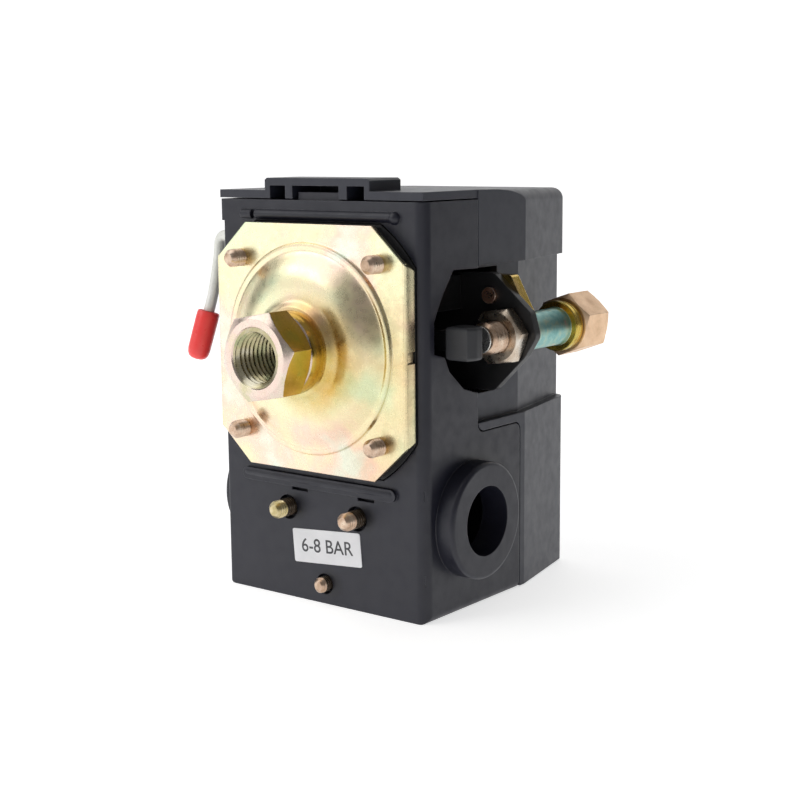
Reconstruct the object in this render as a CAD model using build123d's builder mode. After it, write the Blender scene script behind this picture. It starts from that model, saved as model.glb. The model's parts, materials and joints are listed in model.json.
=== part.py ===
from build123d import *
import os

# Air-compressor pressure switch: stepped two-piece housing, domed pressure flange with a
# hexagonal port, snap contacts, a hanging off-lever and an unloader valve on its side.
# Frame: origin at the centre of the pressure port's mouth, +Y into the switch, +X towards
# the unloader valve, +Z up.  All dimensions are millimetres.

# ---- housing ----
HALF_WIDTH = 30.9
TOP_Z = 34.2
BOTTOM_Z = -61.9
COVER_BOTTOM_Z = -61.4
FRONT_Y = 22.0
FRONT_INSIDE_Y = 27.0
SPLIT_HIGH_Y = 42.6
SPLIT_LOW_Y = 60.4
STEP_Z = -20.15
REAR_Y = 90.5
TAPER_START_Y = 62.6
REAR_HALF_WIDTH = 25.0
WALL = 2.5
FLOOR = 2.2
SPLIT_GAP = 0.3
POCKET_RADIUS = 35.0
POCKET_HALF_WIDTH = 28.8
POCKET_HALF_HEIGHT = 29.4
POCKET_FLOOR_Y = 23.9

# ---- cable entries ----
CABLE_Y = 39.7
CABLE_Z = -40.0
CABLE_RADIUS = 8.3
CABLE_BOSS_RADIUS = 13.9
CABLE_BOSS_X = 35.7

# ---- cover ----
COVER_TOP_Z = 36.4
COVER_LIP_Z = 34.5
COVER_INSIDE_HALF = 26.8
COVER_INSIDE_REAR_HALF = 20.4
COVER_INSIDE_Y = 87.5
COVER_REAR_TOP_Z = 35.6
NUT_SEAT_Y = REAR_Y - 5.0
COVER_RECESS_X = 28.8
COVER_RECESS_REAR_X = 22.2
BRIDGE_TOP_Z = 39.3
BRIDGE_REAR_Y = 33.5

# ---- pressure flange and port ----
FLANGE_FRONT_Y = 18.2
FLANGE_REAR_Y = 19.5
FLANGE_LIP_Y = 21.5
FLANGE_HALF_X = 28.8
FLANGE_HALF_Z = 29.0
FLANGE_CORNER_X = 19.2
FLANGE_CORNER_Z = 20.2
DIAPHRAGM_FRONT_Y = 21.8
DOME_RADIUS = 24.7
PORT_FLATS = 19.0
PORT_HEX_END_Y = 8.4
PORT_BORE_RADIUS = 5.7
PORT_MOUTH_RADIUS = 6.87
PORT_MOUTH_DEPTH = 0.5
COLLAR_RADIUS = 10.5
COLLAR_END_Y = 12.6
FLANGE_SCREW_X = 20.8
FLANGE_SCREW_Z = 20.6
FLANGE_SCREW_TIP_Y = 13.8
FLANGE_SCREW_RADIUS = 2.15
FLANGE_SCREW_HOLE = 2.4

# ---- mechanism ----
FRAME_Y = 27.0
FRAME_REAR_Y = 29.0
PIVOT_Y = 33.0
PIVOT_Z = 26.0
PIVOT_RADIUS = 1.5
RUNNING_GAP = 0.05
ROCKER_Y = 34.0
ROCKER_REAR_Y = 36.0
STEM_RADIUS = 5.0
RANGE_Z = -16.0
RANGE_STUD_RADIUS = 3.0
DIFFERENTIAL_Z = 12.0
DIFFERENTIAL_STUD_RADIUS = 2.0

# ---- unloader valve ----
VALVE_X = 36.5
VALVE_Z = 3.0
VALVE_NUT_FLATS = 13.6
VALVE_NUT_TURN = 20.0
NOSE_Y = 36.6
PIN_DISC_Y = 34.95
VALVE_NUT_END_Y = 80.8
ARM_Y = 31.0
ARM_REAR_Y = 33.0
SHIELD_Y = 45.5
BRACKET_Y = 47.5
BRACKET_REAR_Y = 50.5
TUBE_RADIUS = 3.25

# ---- off-lever ----
LEVER_Y = 28.1
LEVER_Z = 24.9
LEVER_RADIUS = 1.4

# ---- contacts ----
POLE_X = 10.1
TERMINAL_OFFSET = 4.9
CONTACT_Z = -33.0
BLOCK_SCREW_X = 10.7
BLOCK_SCREW_Z = -39.6
GROUND_Z = -57.0

os.makedirs("parts", exist_ok=True)


def at_y(y):
    """Plane facing the viewer at depth y; sketch coordinates are (x, z)."""
    return Plane.XZ.offset(-y)


def block(x0, x1, y0, y1, z0, z1, mode=Mode.ADD):
    """Box between two opposite corners."""
    with Locations(((x0 + x1) / 2, (y0 + y1) / 2, (z0 + z1) / 2)):
        Box(x1 - x0, y1 - y0, z1 - z0, mode=mode)


def rod(radius, y0, y1, x=0.0, z=0.0, mode=Mode.ADD):
    """Cylinder along the depth of the switch."""
    with Locations((x, (y0 + y1) / 2, z)):
        Cylinder(radius, y1 - y0, rotation=(90, 0, 0), mode=mode)


def cross_rod(radius, x0, x1, y, z, mode=Mode.ADD):
    """Cylinder across the width of the switch."""
    with Locations(((x0 + x1) / 2, y, z)):
        Cylinder(radius, x1 - x0, rotation=(0, 90, 0), mode=mode)


def hexagon(flats, y0, y1, x=0.0, z=0.0, turn=0.0, mode=Mode.ADD):
    """Hexagonal bar along the depth of the switch."""
    with BuildSketch(at_y(y0)) as outline:
        with Locations((x, z)):
            RegularPolygon(flats / 2, 6, major_radius=False, rotation=turn)
    extrude(outline.sketch, amount=y0 - y1, mode=mode)


def slotted_screw(x, z, tip_y, head_y, shank_radius, head_radius, head_height):
    """Screw with its point towards the viewer and a slotted head inside the switch."""
    point = shank_radius * 0.45
    rod(shank_radius, tip_y + point, head_y, x, z)
    with Locations((x, tip_y + point / 2, z)):
        Cone(shank_radius, shank_radius * 0.55, point, rotation=(90, 0, 0))
    rod(head_radius, head_y, head_y + head_height, x, z)
    slot_depth = head_height * 0.45
    slot_half = head_radius * 0.16
    block(x - head_radius, x + head_radius, head_y + head_height - slot_depth,
          head_y + head_height + 1, z - slot_half, z + slot_half, mode=Mode.SUBTRACT)


def save(builder, label):
    """Name the solid and write its file."""
    builder.part.label = label
    export_step(builder.part, "parts/" + label + ".step")


# =====================================================================================
# Housing
# =====================================================================================

# ---- base housing: stepped box, open to the rear, carrying everything else ----
with BuildPart() as base:
    with BuildSketch(Plane.YZ):
        with BuildLine():
            Polyline((FRONT_Y, BOTTOM_Z), (SPLIT_LOW_Y, BOTTOM_Z), (SPLIT_LOW_Y, STEP_Z),
                     (SPLIT_HIGH_Y, STEP_Z), (SPLIT_HIGH_Y, TOP_Z), (FRONT_Y, TOP_Z),
                     close=True)
        make_face()
    extrude(amount=HALF_WIDTH, both=True)
    # rounded front corners, the right one softer, and rounded bottom edges
    with BuildSketch(Plane.XY.offset(BOTTOM_Z - 5)) as base_plan:
        with Locations((0, FRONT_Y + 40)):
            Rectangle(2 * HALF_WIDTH, 80)
        front_corners = base_plan.vertices().group_by(Axis.Y)[0].sort_by(Axis.X)
        fillet(front_corners[0], 1.0)
        fillet(base_plan.vertices().group_by(Axis.Y)[0].sort_by(Axis.X)[-1], 2.6)
    extrude(amount=TOP_Z - BOTTOM_Z + 10, mode=Mode.INTERSECT)
    with BuildSketch(at_y(FRONT_Y - 5)) as base_face:
        with Locations((0, BOTTOM_Z + 60)):
            Rectangle(2 * HALF_WIDTH, 120)
        fillet(base_face.vertices().group_by(Axis.Y)[0], 1.8)
    extrude(amount=-80, mode=Mode.INTERSECT)
    fillet(base.edges().filter_by(Axis.X).group_by(Axis.Z)[1], 2.2)
    # round bosses around the two cable entries
    for side in (-1, 1):
        edge = side * (HALF_WIDTH - 1)
        face = side * CABLE_BOSS_X
        cross_rod(CABLE_BOSS_RADIUS, min(edge, face), max(edge, face), CABLE_Y, CABLE_Z)
    rims = base.edges().filter_by(GeomType.CIRCLE)
    rims = rims.filter_by(lambda e: abs(abs(e.center().X) - CABLE_BOSS_X) < 0.01)
    fillet(rims, 1.0)
    # inside of the box
    with BuildSketch(Plane.YZ):
        with BuildLine():
            Polyline((FRONT_INSIDE_Y, BOTTOM_Z + FLOOR), (SPLIT_LOW_Y + 9, BOTTOM_Z + FLOOR),
                     (SPLIT_LOW_Y + 9, STEP_Z + 9), (SPLIT_HIGH_Y + 9, STEP_Z + 9),
                     (SPLIT_HIGH_Y + 9, TOP_Z - WALL), (FRONT_INSIDE_Y, TOP_Z - WALL),
                     close=True)
        make_face()
    extrude(amount=HALF_WIDTH - WALL, both=True, mode=Mode.SUBTRACT)
    # shallow pocket for the diaphragm and the bore for the piston
    with BuildSketch(at_y(FRONT_Y)):
        Circle(POCKET_RADIUS)
        Rectangle(2 * POCKET_HALF_WIDTH, 2 * POCKET_HALF_HEIGHT, mode=Mode.INTERSECT)
    extrude(amount=FRONT_Y - POCKET_FLOOR_Y, mode=Mode.SUBTRACT)
    rod(15.0, FRONT_Y, FRONT_INSIDE_Y + 1, mode=Mode.SUBTRACT)
    # half-round rib over the flange, with its short end piece and knob
    cross_rod(1.15, -23.3, -20.0, FRONT_Y, 30.75)
    cross_rod(1.15, -18.7, 22.9, FRONT_Y, 30.75)
    with Locations((22.9, FRONT_Y, 30.6)):
        Sphere(1.5)
    # flat rounded rib under the flange
    with BuildSketch(at_y(FRONT_Y + 1)):
        with Locations((-0.95, -32.6)):
            SlotOverall(47.5, 3.0)
    extrude(amount=1.9)
    for slot_x in (-6.8, 13.6):
        block(slot_x - 2.5, slot_x + 2.5, FRONT_Y - 1, FRONT_Y + 1.4, -35.1, -34.2,
              mode=Mode.SUBTRACT)
    # holes for the flange screws, the contact block screws and the ground screw
    for screw_x in (-FLANGE_SCREW_X, FLANGE_SCREW_X):
        for screw_z in (-FLANGE_SCREW_Z, FLANGE_SCREW_Z):
            rod(FLANGE_SCREW_HOLE, FRONT_Y, FRONT_INSIDE_Y + 1, screw_x, screw_z,
                mode=Mode.SUBTRACT)
    for screw_x in (-BLOCK_SCREW_X, BLOCK_SCREW_X):
        rod(2.3, FRONT_Y - 1, FRONT_INSIDE_Y + 1, screw_x, BLOCK_SCREW_Z, mode=Mode.SUBTRACT)
        rod(3.0, FRONT_Y - 1, FRONT_Y + 2.5, screw_x, BLOCK_SCREW_Z, mode=Mode.SUBTRACT)
    rod(1.95, FRONT_Y - 1, FRONT_INSIDE_Y + 1, 0.6, GROUND_Z, mode=Mode.SUBTRACT)
    rod(2.5, FRONT_Y - 1, FRONT_Y + 2.0, 0.6, GROUND_Z, mode=Mode.SUBTRACT)
    rod(1.6, 24.4, FRONT_INSIDE_Y + 1, 7.0, GROUND_Z, mode=Mode.SUBTRACT)
    # cable bores
    for side in (-1, 1):
        inner = side * (HALF_WIDTH - WALL - 2)
        outer = side * (CABLE_BOSS_X + 2)
        cross_rod(CABLE_RADIUS, min(inner, outer), max(inner, outer), CABLE_Y, CABLE_Z,
                  mode=Mode.SUBTRACT)
    # opening in the right wall where the unloader arm comes out
    with BuildSketch(Plane.YZ.offset(HALF_WIDTH - WALL - 0.5)):
        with BuildLine():
            Polyline((SPLIT_HIGH_Y + 2, 18.4), (33.0, 18.7), (28.9, 13.3), (26.8, 9.7),
                     (25.6, 7.5), (25.6, 0.3), (29.6, -0.8), (31.4, -4.3), (36.9, -8.9),
                     (41.8, -10.4), (SPLIT_HIGH_Y + 2, -10.6), close=True)
        make_face()
    extrude(amount=WALL + 2, mode=Mode.SUBTRACT)
    # hole for the lever's shaft, the relief behind it and the nick in the front edge
    cross_rod(LEVER_RADIUS + RUNNING_GAP, -HALF_WIDTH - 1, -HALF_WIDTH + WALL + 1,
              LEVER_Y, LEVER_Z, mode=Mode.SUBTRACT)
    block(-HALF_WIDTH + WALL, -24.2, 25.6, FRONT_INSIDE_Y + 1, 11.0, 28.6,
          mode=Mode.SUBTRACT)
    block(-HALF_WIDTH - 1, -HALF_WIDTH + 1.4, FRONT_Y - 1, FRONT_Y + 2.2, 22.0, 29.0,
          mode=Mode.SUBTRACT)
    # lug that the cover's lip hooks over
    block(-6.5, 6.0, 23.2, 27.0, TOP_Z - 0.5, 36.0)
    # two moulding nicks in the front right edge
    for nick_z in (-31.8, -51.6):
        block(HALF_WIDTH - 0.9, HALF_WIDTH + 1, FRONT_Y, FRONT_Y + 0.9, nick_z - 1.2,
              nick_z + 1.2, mode=Mode.SUBTRACT)
save(base, "base_housing")



def tapered_plan(half_front, half_rear, front_y, rear_y, corner, mode):
    """Column with the cover's outline seen from above: straight sides that then draw in."""
    with BuildSketch(Plane.XY.offset(BOTTOM_Z - 5)) as plan:
        with BuildLine():
            Polyline((-half_front, front_y), (half_front, front_y), (half_front, TAPER_START_Y),
                     (half_rear, rear_y), (-half_rear, rear_y), (-half_front, TAPER_START_Y),
                     close=True)
        make_face()
        fillet(plan.vertices().group_by(Axis.Y)[-1], corner)
    extrude(plan.sketch, amount=COVER_TOP_Z - BOTTOM_Z + 10, mode=mode)


# ---- inside of the cover, used as its core ----
with BuildPart() as cover_core:
    with BuildSketch(Plane.YZ):
        with BuildLine():
            Polyline((SPLIT_HIGH_Y - 2, TOP_Z - 0.6), (COVER_INSIDE_Y, TOP_Z - 1.4),
                     (COVER_INSIDE_Y, BOTTOM_Z + 2.3), (SPLIT_LOW_Y - 2, BOTTOM_Z + 2.3),
                     (SPLIT_LOW_Y - 2, STEP_Z - 6), (SPLIT_HIGH_Y - 2, STEP_Z - 6),
                     close=True)
        make_face()
    extrude(amount=COVER_INSIDE_HALF, both=True)
    tapered_plan(COVER_INSIDE_HALF, COVER_INSIDE_REAR_HALF, SPLIT_HIGH_Y - 3, COVER_INSIDE_Y,
                 3.0, Mode.INTERSECT)

# ---- cover: rear shell with a lip running forward over the top of the base ----
with BuildPart() as cover:
    with BuildSketch(Plane.YZ):
        with BuildLine():
            Polyline((SPLIT_HIGH_Y + SPLIT_GAP, COVER_LIP_Z + 0.3),
                     (SPLIT_HIGH_Y + SPLIT_GAP, STEP_Z + SPLIT_GAP),
                     (SPLIT_LOW_Y + SPLIT_GAP, STEP_Z + SPLIT_GAP),
                     (SPLIT_LOW_Y + SPLIT_GAP, COVER_BOTTOM_Z), (REAR_Y, COVER_BOTTOM_Z),
                     (REAR_Y, COVER_REAR_TOP_Z), (SPLIT_HIGH_Y + SPLIT_GAP, COVER_TOP_Z),
                     close=True)
        make_face()
    extrude(amount=HALF_WIDTH, both=True)
    tapered_plan(HALF_WIDTH, REAR_HALF_WIDTH, SPLIT_HIGH_Y, REAR_Y, 4.0, Mode.INTERSECT)
    step_edges = cover.edges().filter_by(Axis.X)
    step_edges = step_edges.filter_by(lambda e: abs(e.center().Z - STEP_Z - SPLIT_GAP) < 0.01)
    fillet(step_edges, 2.2)
    rear_top = cover.faces().sort_by(Axis.Z)[-1].edges().filter_by(
        lambda e: e.center().Y > 86)
    fillet(rear_top, 2.8)
    add(cover_core.part, mode=Mode.SUBTRACT)
    # lip over the base, and the raised bridge on it
    block(-HALF_WIDTH + 0.2, HALF_WIDTH - 0.2, FRONT_Y, SPLIT_HIGH_Y + 3, COVER_LIP_Z,
          COVER_TOP_Z)
    with BuildSketch(Plane.XZ.offset(-FRONT_Y)):
        with BuildLine():
            Polyline((-16.0, COVER_TOP_Z - 0.5), (15.7, COVER_TOP_Z - 0.5),
                     (15.7, BRIDGE_TOP_Z - 0.5), (15.0, BRIDGE_TOP_Z),
                     (-15.3, BRIDGE_TOP_Z), (-16.0, BRIDGE_TOP_Z - 0.5), close=True)
        make_face()
    extrude(amount=FRONT_Y - BRIDGE_REAR_Y)
    for left, right in ((-14.4, -9.6), (-7.4, 6.7), (9.1, 14.2)):
        block(left, right, FRONT_Y - 1, 32.0, COVER_LIP_Z - 0.5, 37.5, mode=Mode.SUBTRACT)
    # tapered recess in each side that clears the unloader's nut
    for side in (-1, 1):
        with BuildSketch(Plane.XY.offset(-17.9)):
            with BuildLine():
                Polyline((side * 32, SPLIT_HIGH_Y - 1), (side * COVER_RECESS_X, SPLIT_HIGH_Y - 1),
                         (side * COVER_RECESS_X, TAPER_START_Y),
                         (side * COVER_RECESS_REAR_X, REAR_Y + 1), (side * 32, REAR_Y + 1),
                         close=True)
            make_face()
        extrude(amount=19.05 + 17.9, mode=Mode.SUBTRACT)
    # notch for the unloader bracket
    block(HALF_WIDTH - 5, HALF_WIDTH + 1, SPLIT_HIGH_Y - 1, 53.5, -11.3, 18.3,
          mode=Mode.SUBTRACT)
    # well for the cover nut
    rod(8.4, REAR_Y - 6.8, REAR_Y - 0.2, z=RANGE_Z)
    rod(6.8, NUT_SEAT_Y, REAR_Y + 1, z=RANGE_Z, mode=Mode.SUBTRACT)
    rod(3.4, REAR_Y - 8, REAR_Y, z=RANGE_Z, mode=Mode.SUBTRACT)
save(cover, "cover")

# ---- cover nut: closed hexagonal nut in the cover's well ----
with BuildPart() as cover_nut:
    hexagon(10.0, NUT_SEAT_Y + 0.2, NUT_SEAT_Y + 3.7, z=RANGE_Z)
    with Locations(Location((0, NUT_SEAT_Y + 3.7, RANGE_Z), (-90, 0, 0))):
        Cone(4.4, 2.6, 1.1, align=(Align.CENTER, Align.CENTER, Align.MIN))
    rod(RANGE_STUD_RADIUS + RUNNING_GAP, NUT_SEAT_Y - 0.2, NUT_SEAT_Y + 3.6, z=RANGE_Z,
        mode=Mode.SUBTRACT)
save(cover_nut, "cover_nut")

# ---- label stuck on the front ----
with BuildPart() as label:
    with BuildSketch(at_y(FRONT_Y)):
        with Locations((1.5, -47.9)):
            RectangleRounded(21.0, 8.2, 0.5, rotation=4.6)
    extrude(amount=0.15)
save(label, "label")

# =====================================================================================
# Pressure side
# =====================================================================================



def octagon(half_x, half_z, corner_x, corner_z):
    """Face of a rectangle with its four corners cut off."""
    Polygon((-corner_x, half_z), (corner_x, half_z), (half_x, corner_z),
            (half_x, -corner_z), (corner_x, -half_z), (-corner_x, -half_z),
            (-half_x, -corner_z), (-half_x, corner_z), align=None)


# ---- flange: octagonal plate pressed into a dome, its side edges bent back ----
with BuildPart() as flange:
    with BuildSketch(at_y(FLANGE_REAR_Y)):
        octagon(FLANGE_HALF_X, FLANGE_HALF_Z, FLANGE_CORNER_X, FLANGE_CORNER_Z)
        Circle(DOME_RADIUS - 1.5, mode=Mode.SUBTRACT)
    extrude(amount=FLANGE_REAR_Y - FLANGE_FRONT_Y)
    # bent side lips with slanted ends
    for side in (-1, 1):
        inner = side * (FLANGE_HALF_X - 1.3)
        outer = side * FLANGE_HALF_X
        with BuildSketch(Plane.YZ.offset(min(inner, outer))):
            with BuildLine():
                Polyline((FLANGE_REAR_Y - 0.5, FLANGE_CORNER_Z), (FLANGE_LIP_Y, FLANGE_CORNER_Z - 1.05),
                         (FLANGE_LIP_Y, 1.05 - FLANGE_CORNER_Z),
                         (FLANGE_REAR_Y - 0.5, -FLANGE_CORNER_Z), close=True)
            make_face()
        extrude(amount=1.3)
    # dome, turned about the port's axis: outside, shoulder, then the inside surface
    with BuildSketch(Plane.XY):
        with BuildLine():
            Line((DOME_RADIUS, 19.4), (DOME_RADIUS, 17.75))
            Line((DOME_RADIUS, 17.75), (23.5, 17.35))
            ThreePointArc((23.5, 17.35), (17.8, 14.6), (12.4, 13.8))
            ThreePointArc((12.4, 13.8), (11.2, 13.3), (COLLAR_RADIUS, COLLAR_END_Y))
            Line((COLLAR_RADIUS, COLLAR_END_Y), (7.4, COLLAR_END_Y))
            Line((7.4, COLLAR_END_Y), (7.4, 15.6))
            Line((7.4, 15.6), (12.4, 15.8))
            ThreePointArc((12.4, 15.8), (17.6, 16.7), (22.3, 19.4))
            Line((22.3, 19.4), (DOME_RADIUS, 19.4))
        make_face()
    revolve(axis=Axis.Y)
    for screw_x in (-FLANGE_SCREW_X, FLANGE_SCREW_X):
        for screw_z in (-FLANGE_SCREW_Z, FLANGE_SCREW_Z):
            rod(FLANGE_SCREW_RADIUS, FLANGE_FRONT_Y - 2, FLANGE_REAR_Y + 1, screw_x, screw_z,
                mode=Mode.SUBTRACT)
    # small locating nicks in the two side edges
    for side in (-1, 1):
        block(side * FLANGE_HALF_X - 0.7, side * FLANGE_HALF_X + 0.7, FLANGE_FRONT_Y - 1,
              FLANGE_LIP_Y + 1, -1.2, 1.2, mode=Mode.SUBTRACT)
save(flange, "flange")

# ---- port nut: hexagon, round collar and the tail that is spread inside the dome ----
with BuildPart() as port_nut:
    hexagon(PORT_FLATS, 0.0, PORT_HEX_END_Y, turn=11.0)
    with BuildSketch(Plane.XY):
        with BuildLine():
            Polyline((0, 0), (9.55, 0), (11.3, 1.0), (11.3, PORT_HEX_END_Y - 0.6),
                     (10.4, PORT_HEX_END_Y), (0, PORT_HEX_END_Y), close=True)
        make_face()
    revolve(axis=Axis.Y, mode=Mode.INTERSECT)
    rod(8.9, PORT_HEX_END_Y, COLLAR_END_Y)
    rod(7.4, COLLAR_END_Y, 15.6)
    rod(8.8, 15.9, 16.9)
    rod(7.4, 15.6, 15.9)
    rod(PORT_BORE_RADIUS, -1.0, 18.0, mode=Mode.SUBTRACT)
    with Locations((0, PORT_MOUTH_DEPTH / 2, 0)):
        Cone(PORT_BORE_RADIUS, PORT_MOUTH_RADIUS, PORT_MOUTH_DEPTH, rotation=(90, 0, 0),
             mode=Mode.SUBTRACT)
save(port_nut, "port_nut")

# ---- four flange screws, threaded through the flange from inside the housing ----
with BuildPart() as flange_screws:
    for screw_x in (-FLANGE_SCREW_X, FLANGE_SCREW_X):
        for screw_z in (-FLANGE_SCREW_Z, FLANGE_SCREW_Z):
            slotted_screw(screw_x, screw_z, FLANGE_SCREW_TIP_Y, FRAME_REAR_Y,
                          FLANGE_SCREW_RADIUS, 3.3, 2.4)
save(flange_screws, "flange_screws")

# ---- diaphragm: rubber sheet with a thick rim, clamped between flange and base ----
with BuildPart() as diaphragm:
    with BuildSketch(at_y(DIAPHRAGM_FRONT_Y)):
        Circle(POCKET_RADIUS - 0.3)
        Rectangle(2 * POCKET_HALF_WIDTH - 0.6, 2 * POCKET_HALF_HEIGHT - 0.6,
                  mode=Mode.INTERSECT)
    extrude(amount=DIAPHRAGM_FRONT_Y - POCKET_FLOOR_Y)
    with BuildSketch(at_y(DIAPHRAGM_FRONT_Y)):
        octagon(FLANGE_HALF_X - 1.5, FLANGE_HALF_Z - 0.5, FLANGE_CORNER_X - 0.4,
                FLANGE_CORNER_Z - 0.4)
        Circle(22.4, mode=Mode.SUBTRACT)
    extrude(amount=DIAPHRAGM_FRONT_Y - FLANGE_REAR_Y - 0.02)
    for screw_x in (-FLANGE_SCREW_X, FLANGE_SCREW_X):
        for screw_z in (-FLANGE_SCREW_Z, FLANGE_SCREW_Z):
            rod(FLANGE_SCREW_HOLE, FLANGE_REAR_Y, POCKET_FLOOR_Y + 1, screw_x, screw_z,
                mode=Mode.SUBTRACT)
save(diaphragm, "diaphragm")

# ---- piston: disc under the diaphragm with a stem that pushes the rocker ----
with BuildPart() as piston:
    rod(14.6, POCKET_FLOOR_Y + 0.05, 25.5)
    rod(STEM_RADIUS, 25.5, ROCKER_Y - 0.3)
save(piston, "piston")

# =====================================================================================
# Mechanism
# =====================================================================================

# ---- frame: pressed steel plate with ears for the pivot and a strap for the unloader ----
with BuildPart() as frame:
    block(-24.0, 24.0, FRAME_Y, FRAME_REAR_Y, -25.5, 29.5)
    for ear_x in (-14.0, 14.0):
        block(ear_x - 1, ear_x + 1, FRAME_REAR_Y - 1, 37.0, 21.0, 29.5)
    cross_rod(PIVOT_RADIUS, -17.0, 17.0, PIVOT_Y, PIVOT_Z, mode=Mode.SUBTRACT)
    block(22.0, 24.0, FRAME_REAR_Y - 1, SHIELD_Y, 8.5, 16.5)
    block(15.0, 24.0, SHIELD_Y - 2, SHIELD_Y, 8.5, 16.5)
    rod(STEM_RADIUS + 0.3, FRAME_Y - 1, FRAME_REAR_Y + 1, mode=Mode.SUBTRACT)
    rod(RANGE_STUD_RADIUS, FRAME_Y - 1, FRAME_REAR_Y + 1, z=RANGE_Z, mode=Mode.SUBTRACT)
    rod(DIFFERENTIAL_STUD_RADIUS, FRAME_Y - 1, FRAME_REAR_Y + 1, z=DIFFERENTIAL_Z,
        mode=Mode.SUBTRACT)
    for screw_x in (-FLANGE_SCREW_X, FLANGE_SCREW_X):
        for screw_z in (-FLANGE_SCREW_Z, FLANGE_SCREW_Z):
            rod(FLANGE_SCREW_HOLE, FRAME_Y - 1, FRAME_REAR_Y + 1, screw_x, screw_z,
                mode=Mode.SUBTRACT)
    rod(1.7, SHIELD_Y - 3, SHIELD_Y + 1, 18.5, 12.5, mode=Mode.SUBTRACT)
save(frame, "frame")

# ---- pivot pin with a head on each side ----
with BuildPart() as pivot_pin:
    cross_rod(PIVOT_RADIUS, -16.0, 16.0, PIVOT_Y, PIVOT_Z)
    cross_rod(2.4, 15.0, 16.2, PIVOT_Y, PIVOT_Z)
    cross_rod(2.4, -16.2, -15.0, PIVOT_Y, PIVOT_Z)
save(pivot_pin, "pivot_pin")

# ---- rocker: plate hung from the pivot, with the unloader arm and the off-lever's tab ----
with BuildPart() as rocker:
    block(-12.5, 12.5, ROCKER_Y, ROCKER_REAR_Y, -28.4, 22.0)
    for lug_x in (-11.4, 11.4):
        block(lug_x - 1.1, lug_x + 1.1, 30.6, ROCKER_REAR_Y, 20.0, 28.6)
    cross_rod(PIVOT_RADIUS + RUNNING_GAP, -14.0, 14.0, PIVOT_Y, PIVOT_Z, mode=Mode.SUBTRACT)
    rod(4.4, ROCKER_Y - 1, ROCKER_REAR_Y + 1, z=RANGE_Z, mode=Mode.SUBTRACT)
    rod(3.0, ROCKER_Y - 1, ROCKER_REAR_Y + 1, z=DIFFERENTIAL_Z, mode=Mode.SUBTRACT)
    block(12.0, 27.0, ROCKER_Y, ROCKER_REAR_Y, 0.5, 4.7)
    block(25.0, 27.0, ARM_Y, ROCKER_REAR_Y, 0.5, 4.7)
    block(25.0, 37.5, ARM_Y, ARM_REAR_Y, 0.5, 4.7)
    block(-14.5, -12.0, ROCKER_Y, 39.4, 12.0, 18.0)
    block(-26.8, -14.0, 37.8, 39.4, 12.0, 18.0)
save(rocker, "rocker")

# ---- unloader arm cap: plastic shoe that pushes the valve's pin ----
with BuildPart() as arm_cap:
    with BuildSketch(Plane.XY.offset(-1.2)):
        with BuildLine():
            Polyline((32.0, 28.5), (37.8, 28.5), (38.8, 31.0), (38.8, 33.2), (37.4, 34.7),
                     (33.2, 34.7), (32.0, 33.4), close=True)
        make_face()
    extrude(amount=7.6)
    fillet(arm_cap.edges().filter_by(Axis.Z).group_by(Axis.X)[-1], 1.4)
    fillet(arm_cap.faces().sort_by(Axis.Z)[-1].edges(), 0.8)
    fillet(arm_cap.faces().sort_by(Axis.Z)[0].edges(), 0.8)
    # narrow neck along the arm
    block(31.0, 32.6, 30.0, 34.0, -0.2, 5.4)
    block(30.0, 37.5, ARM_Y, ARM_REAR_Y, 0.5, 4.7, mode=Mode.SUBTRACT)
save(arm_cap, "arm_cap")


def coil(radius, wire, turns, y0, y1, x, z):
    """Compression spring along the depth of the switch."""
    height = y1 - y0 - 2 * wire
    with BuildLine() as path:
        Helix(pitch=height / turns, height=height, radius=radius,
              center=(x, y0 + wire, z), direction=(0, 1, 0))
    with BuildSketch(path.line ^ 0) as section:
        Circle(wire)
    sweep(section.sketch, path=path.line, is_frenet=True)


# ---- range stud, its spring, spring cup and adjusting nut ----
with BuildPart() as range_stud:
    rod(RANGE_STUD_RADIUS, FRAME_Y, NUT_SEAT_Y + 3.3, z=RANGE_Z)
    chamfer(range_stud.edges().group_by(Axis.Y)[-1], 0.6)
save(range_stud, "range_stud")

with BuildPart() as range_spring:
    coil(6.2, 0.95, 6, ROCKER_REAR_Y + 0.1, 58.0, 0, RANGE_Z)
save(range_spring, "range_spring")

with BuildPart() as range_cup:
    rod(7.6, 58.1, 60.0, z=RANGE_Z)
    rod(4.6, 56.2, 58.1, z=RANGE_Z)
    rod(RANGE_STUD_RADIUS + RUNNING_GAP, 55.0, 61.0, z=RANGE_Z, mode=Mode.SUBTRACT)
save(range_cup, "range_cup")

with BuildPart() as range_nut:
    hexagon(10.0, 60.1, 65.1, z=RANGE_Z)
    rod(RANGE_STUD_RADIUS + RUNNING_GAP, 59.0, 66.0, z=RANGE_Z, mode=Mode.SUBTRACT)
save(range_nut, "range_nut")

# ---- differential stud, spring, washer and nut ----
with BuildPart() as differential_stud:
    rod(DIFFERENTIAL_STUD_RADIUS, FRAME_Y, 60.0, z=DIFFERENTIAL_Z)
    chamfer(differential_stud.edges().group_by(Axis.Y)[-1], 0.5)
save(differential_stud, "differential_stud")

with BuildPart() as differential_spring:
    coil(3.6, 0.5, 8, ROCKER_REAR_Y + 0.1, 51.0, 0, DIFFERENTIAL_Z)
save(differential_spring, "differential_spring")

with BuildPart() as differential_washer:
    rod(4.8, 51.1, 52.1, z=DIFFERENTIAL_Z)
    rod(DIFFERENTIAL_STUD_RADIUS + RUNNING_GAP, 50.0, 53.0, z=DIFFERENTIAL_Z,
        mode=Mode.SUBTRACT)
save(differential_washer, "differential_washer")

with BuildPart() as differential_nut:
    hexagon(7.0, 52.2, 55.4, z=DIFFERENTIAL_Z)
    rod(DIFFERENTIAL_STUD_RADIUS + RUNNING_GAP, 51.0, 56.0, z=DIFFERENTIAL_Z,
        mode=Mode.SUBTRACT)
save(differential_nut, "differential_nut")

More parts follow.
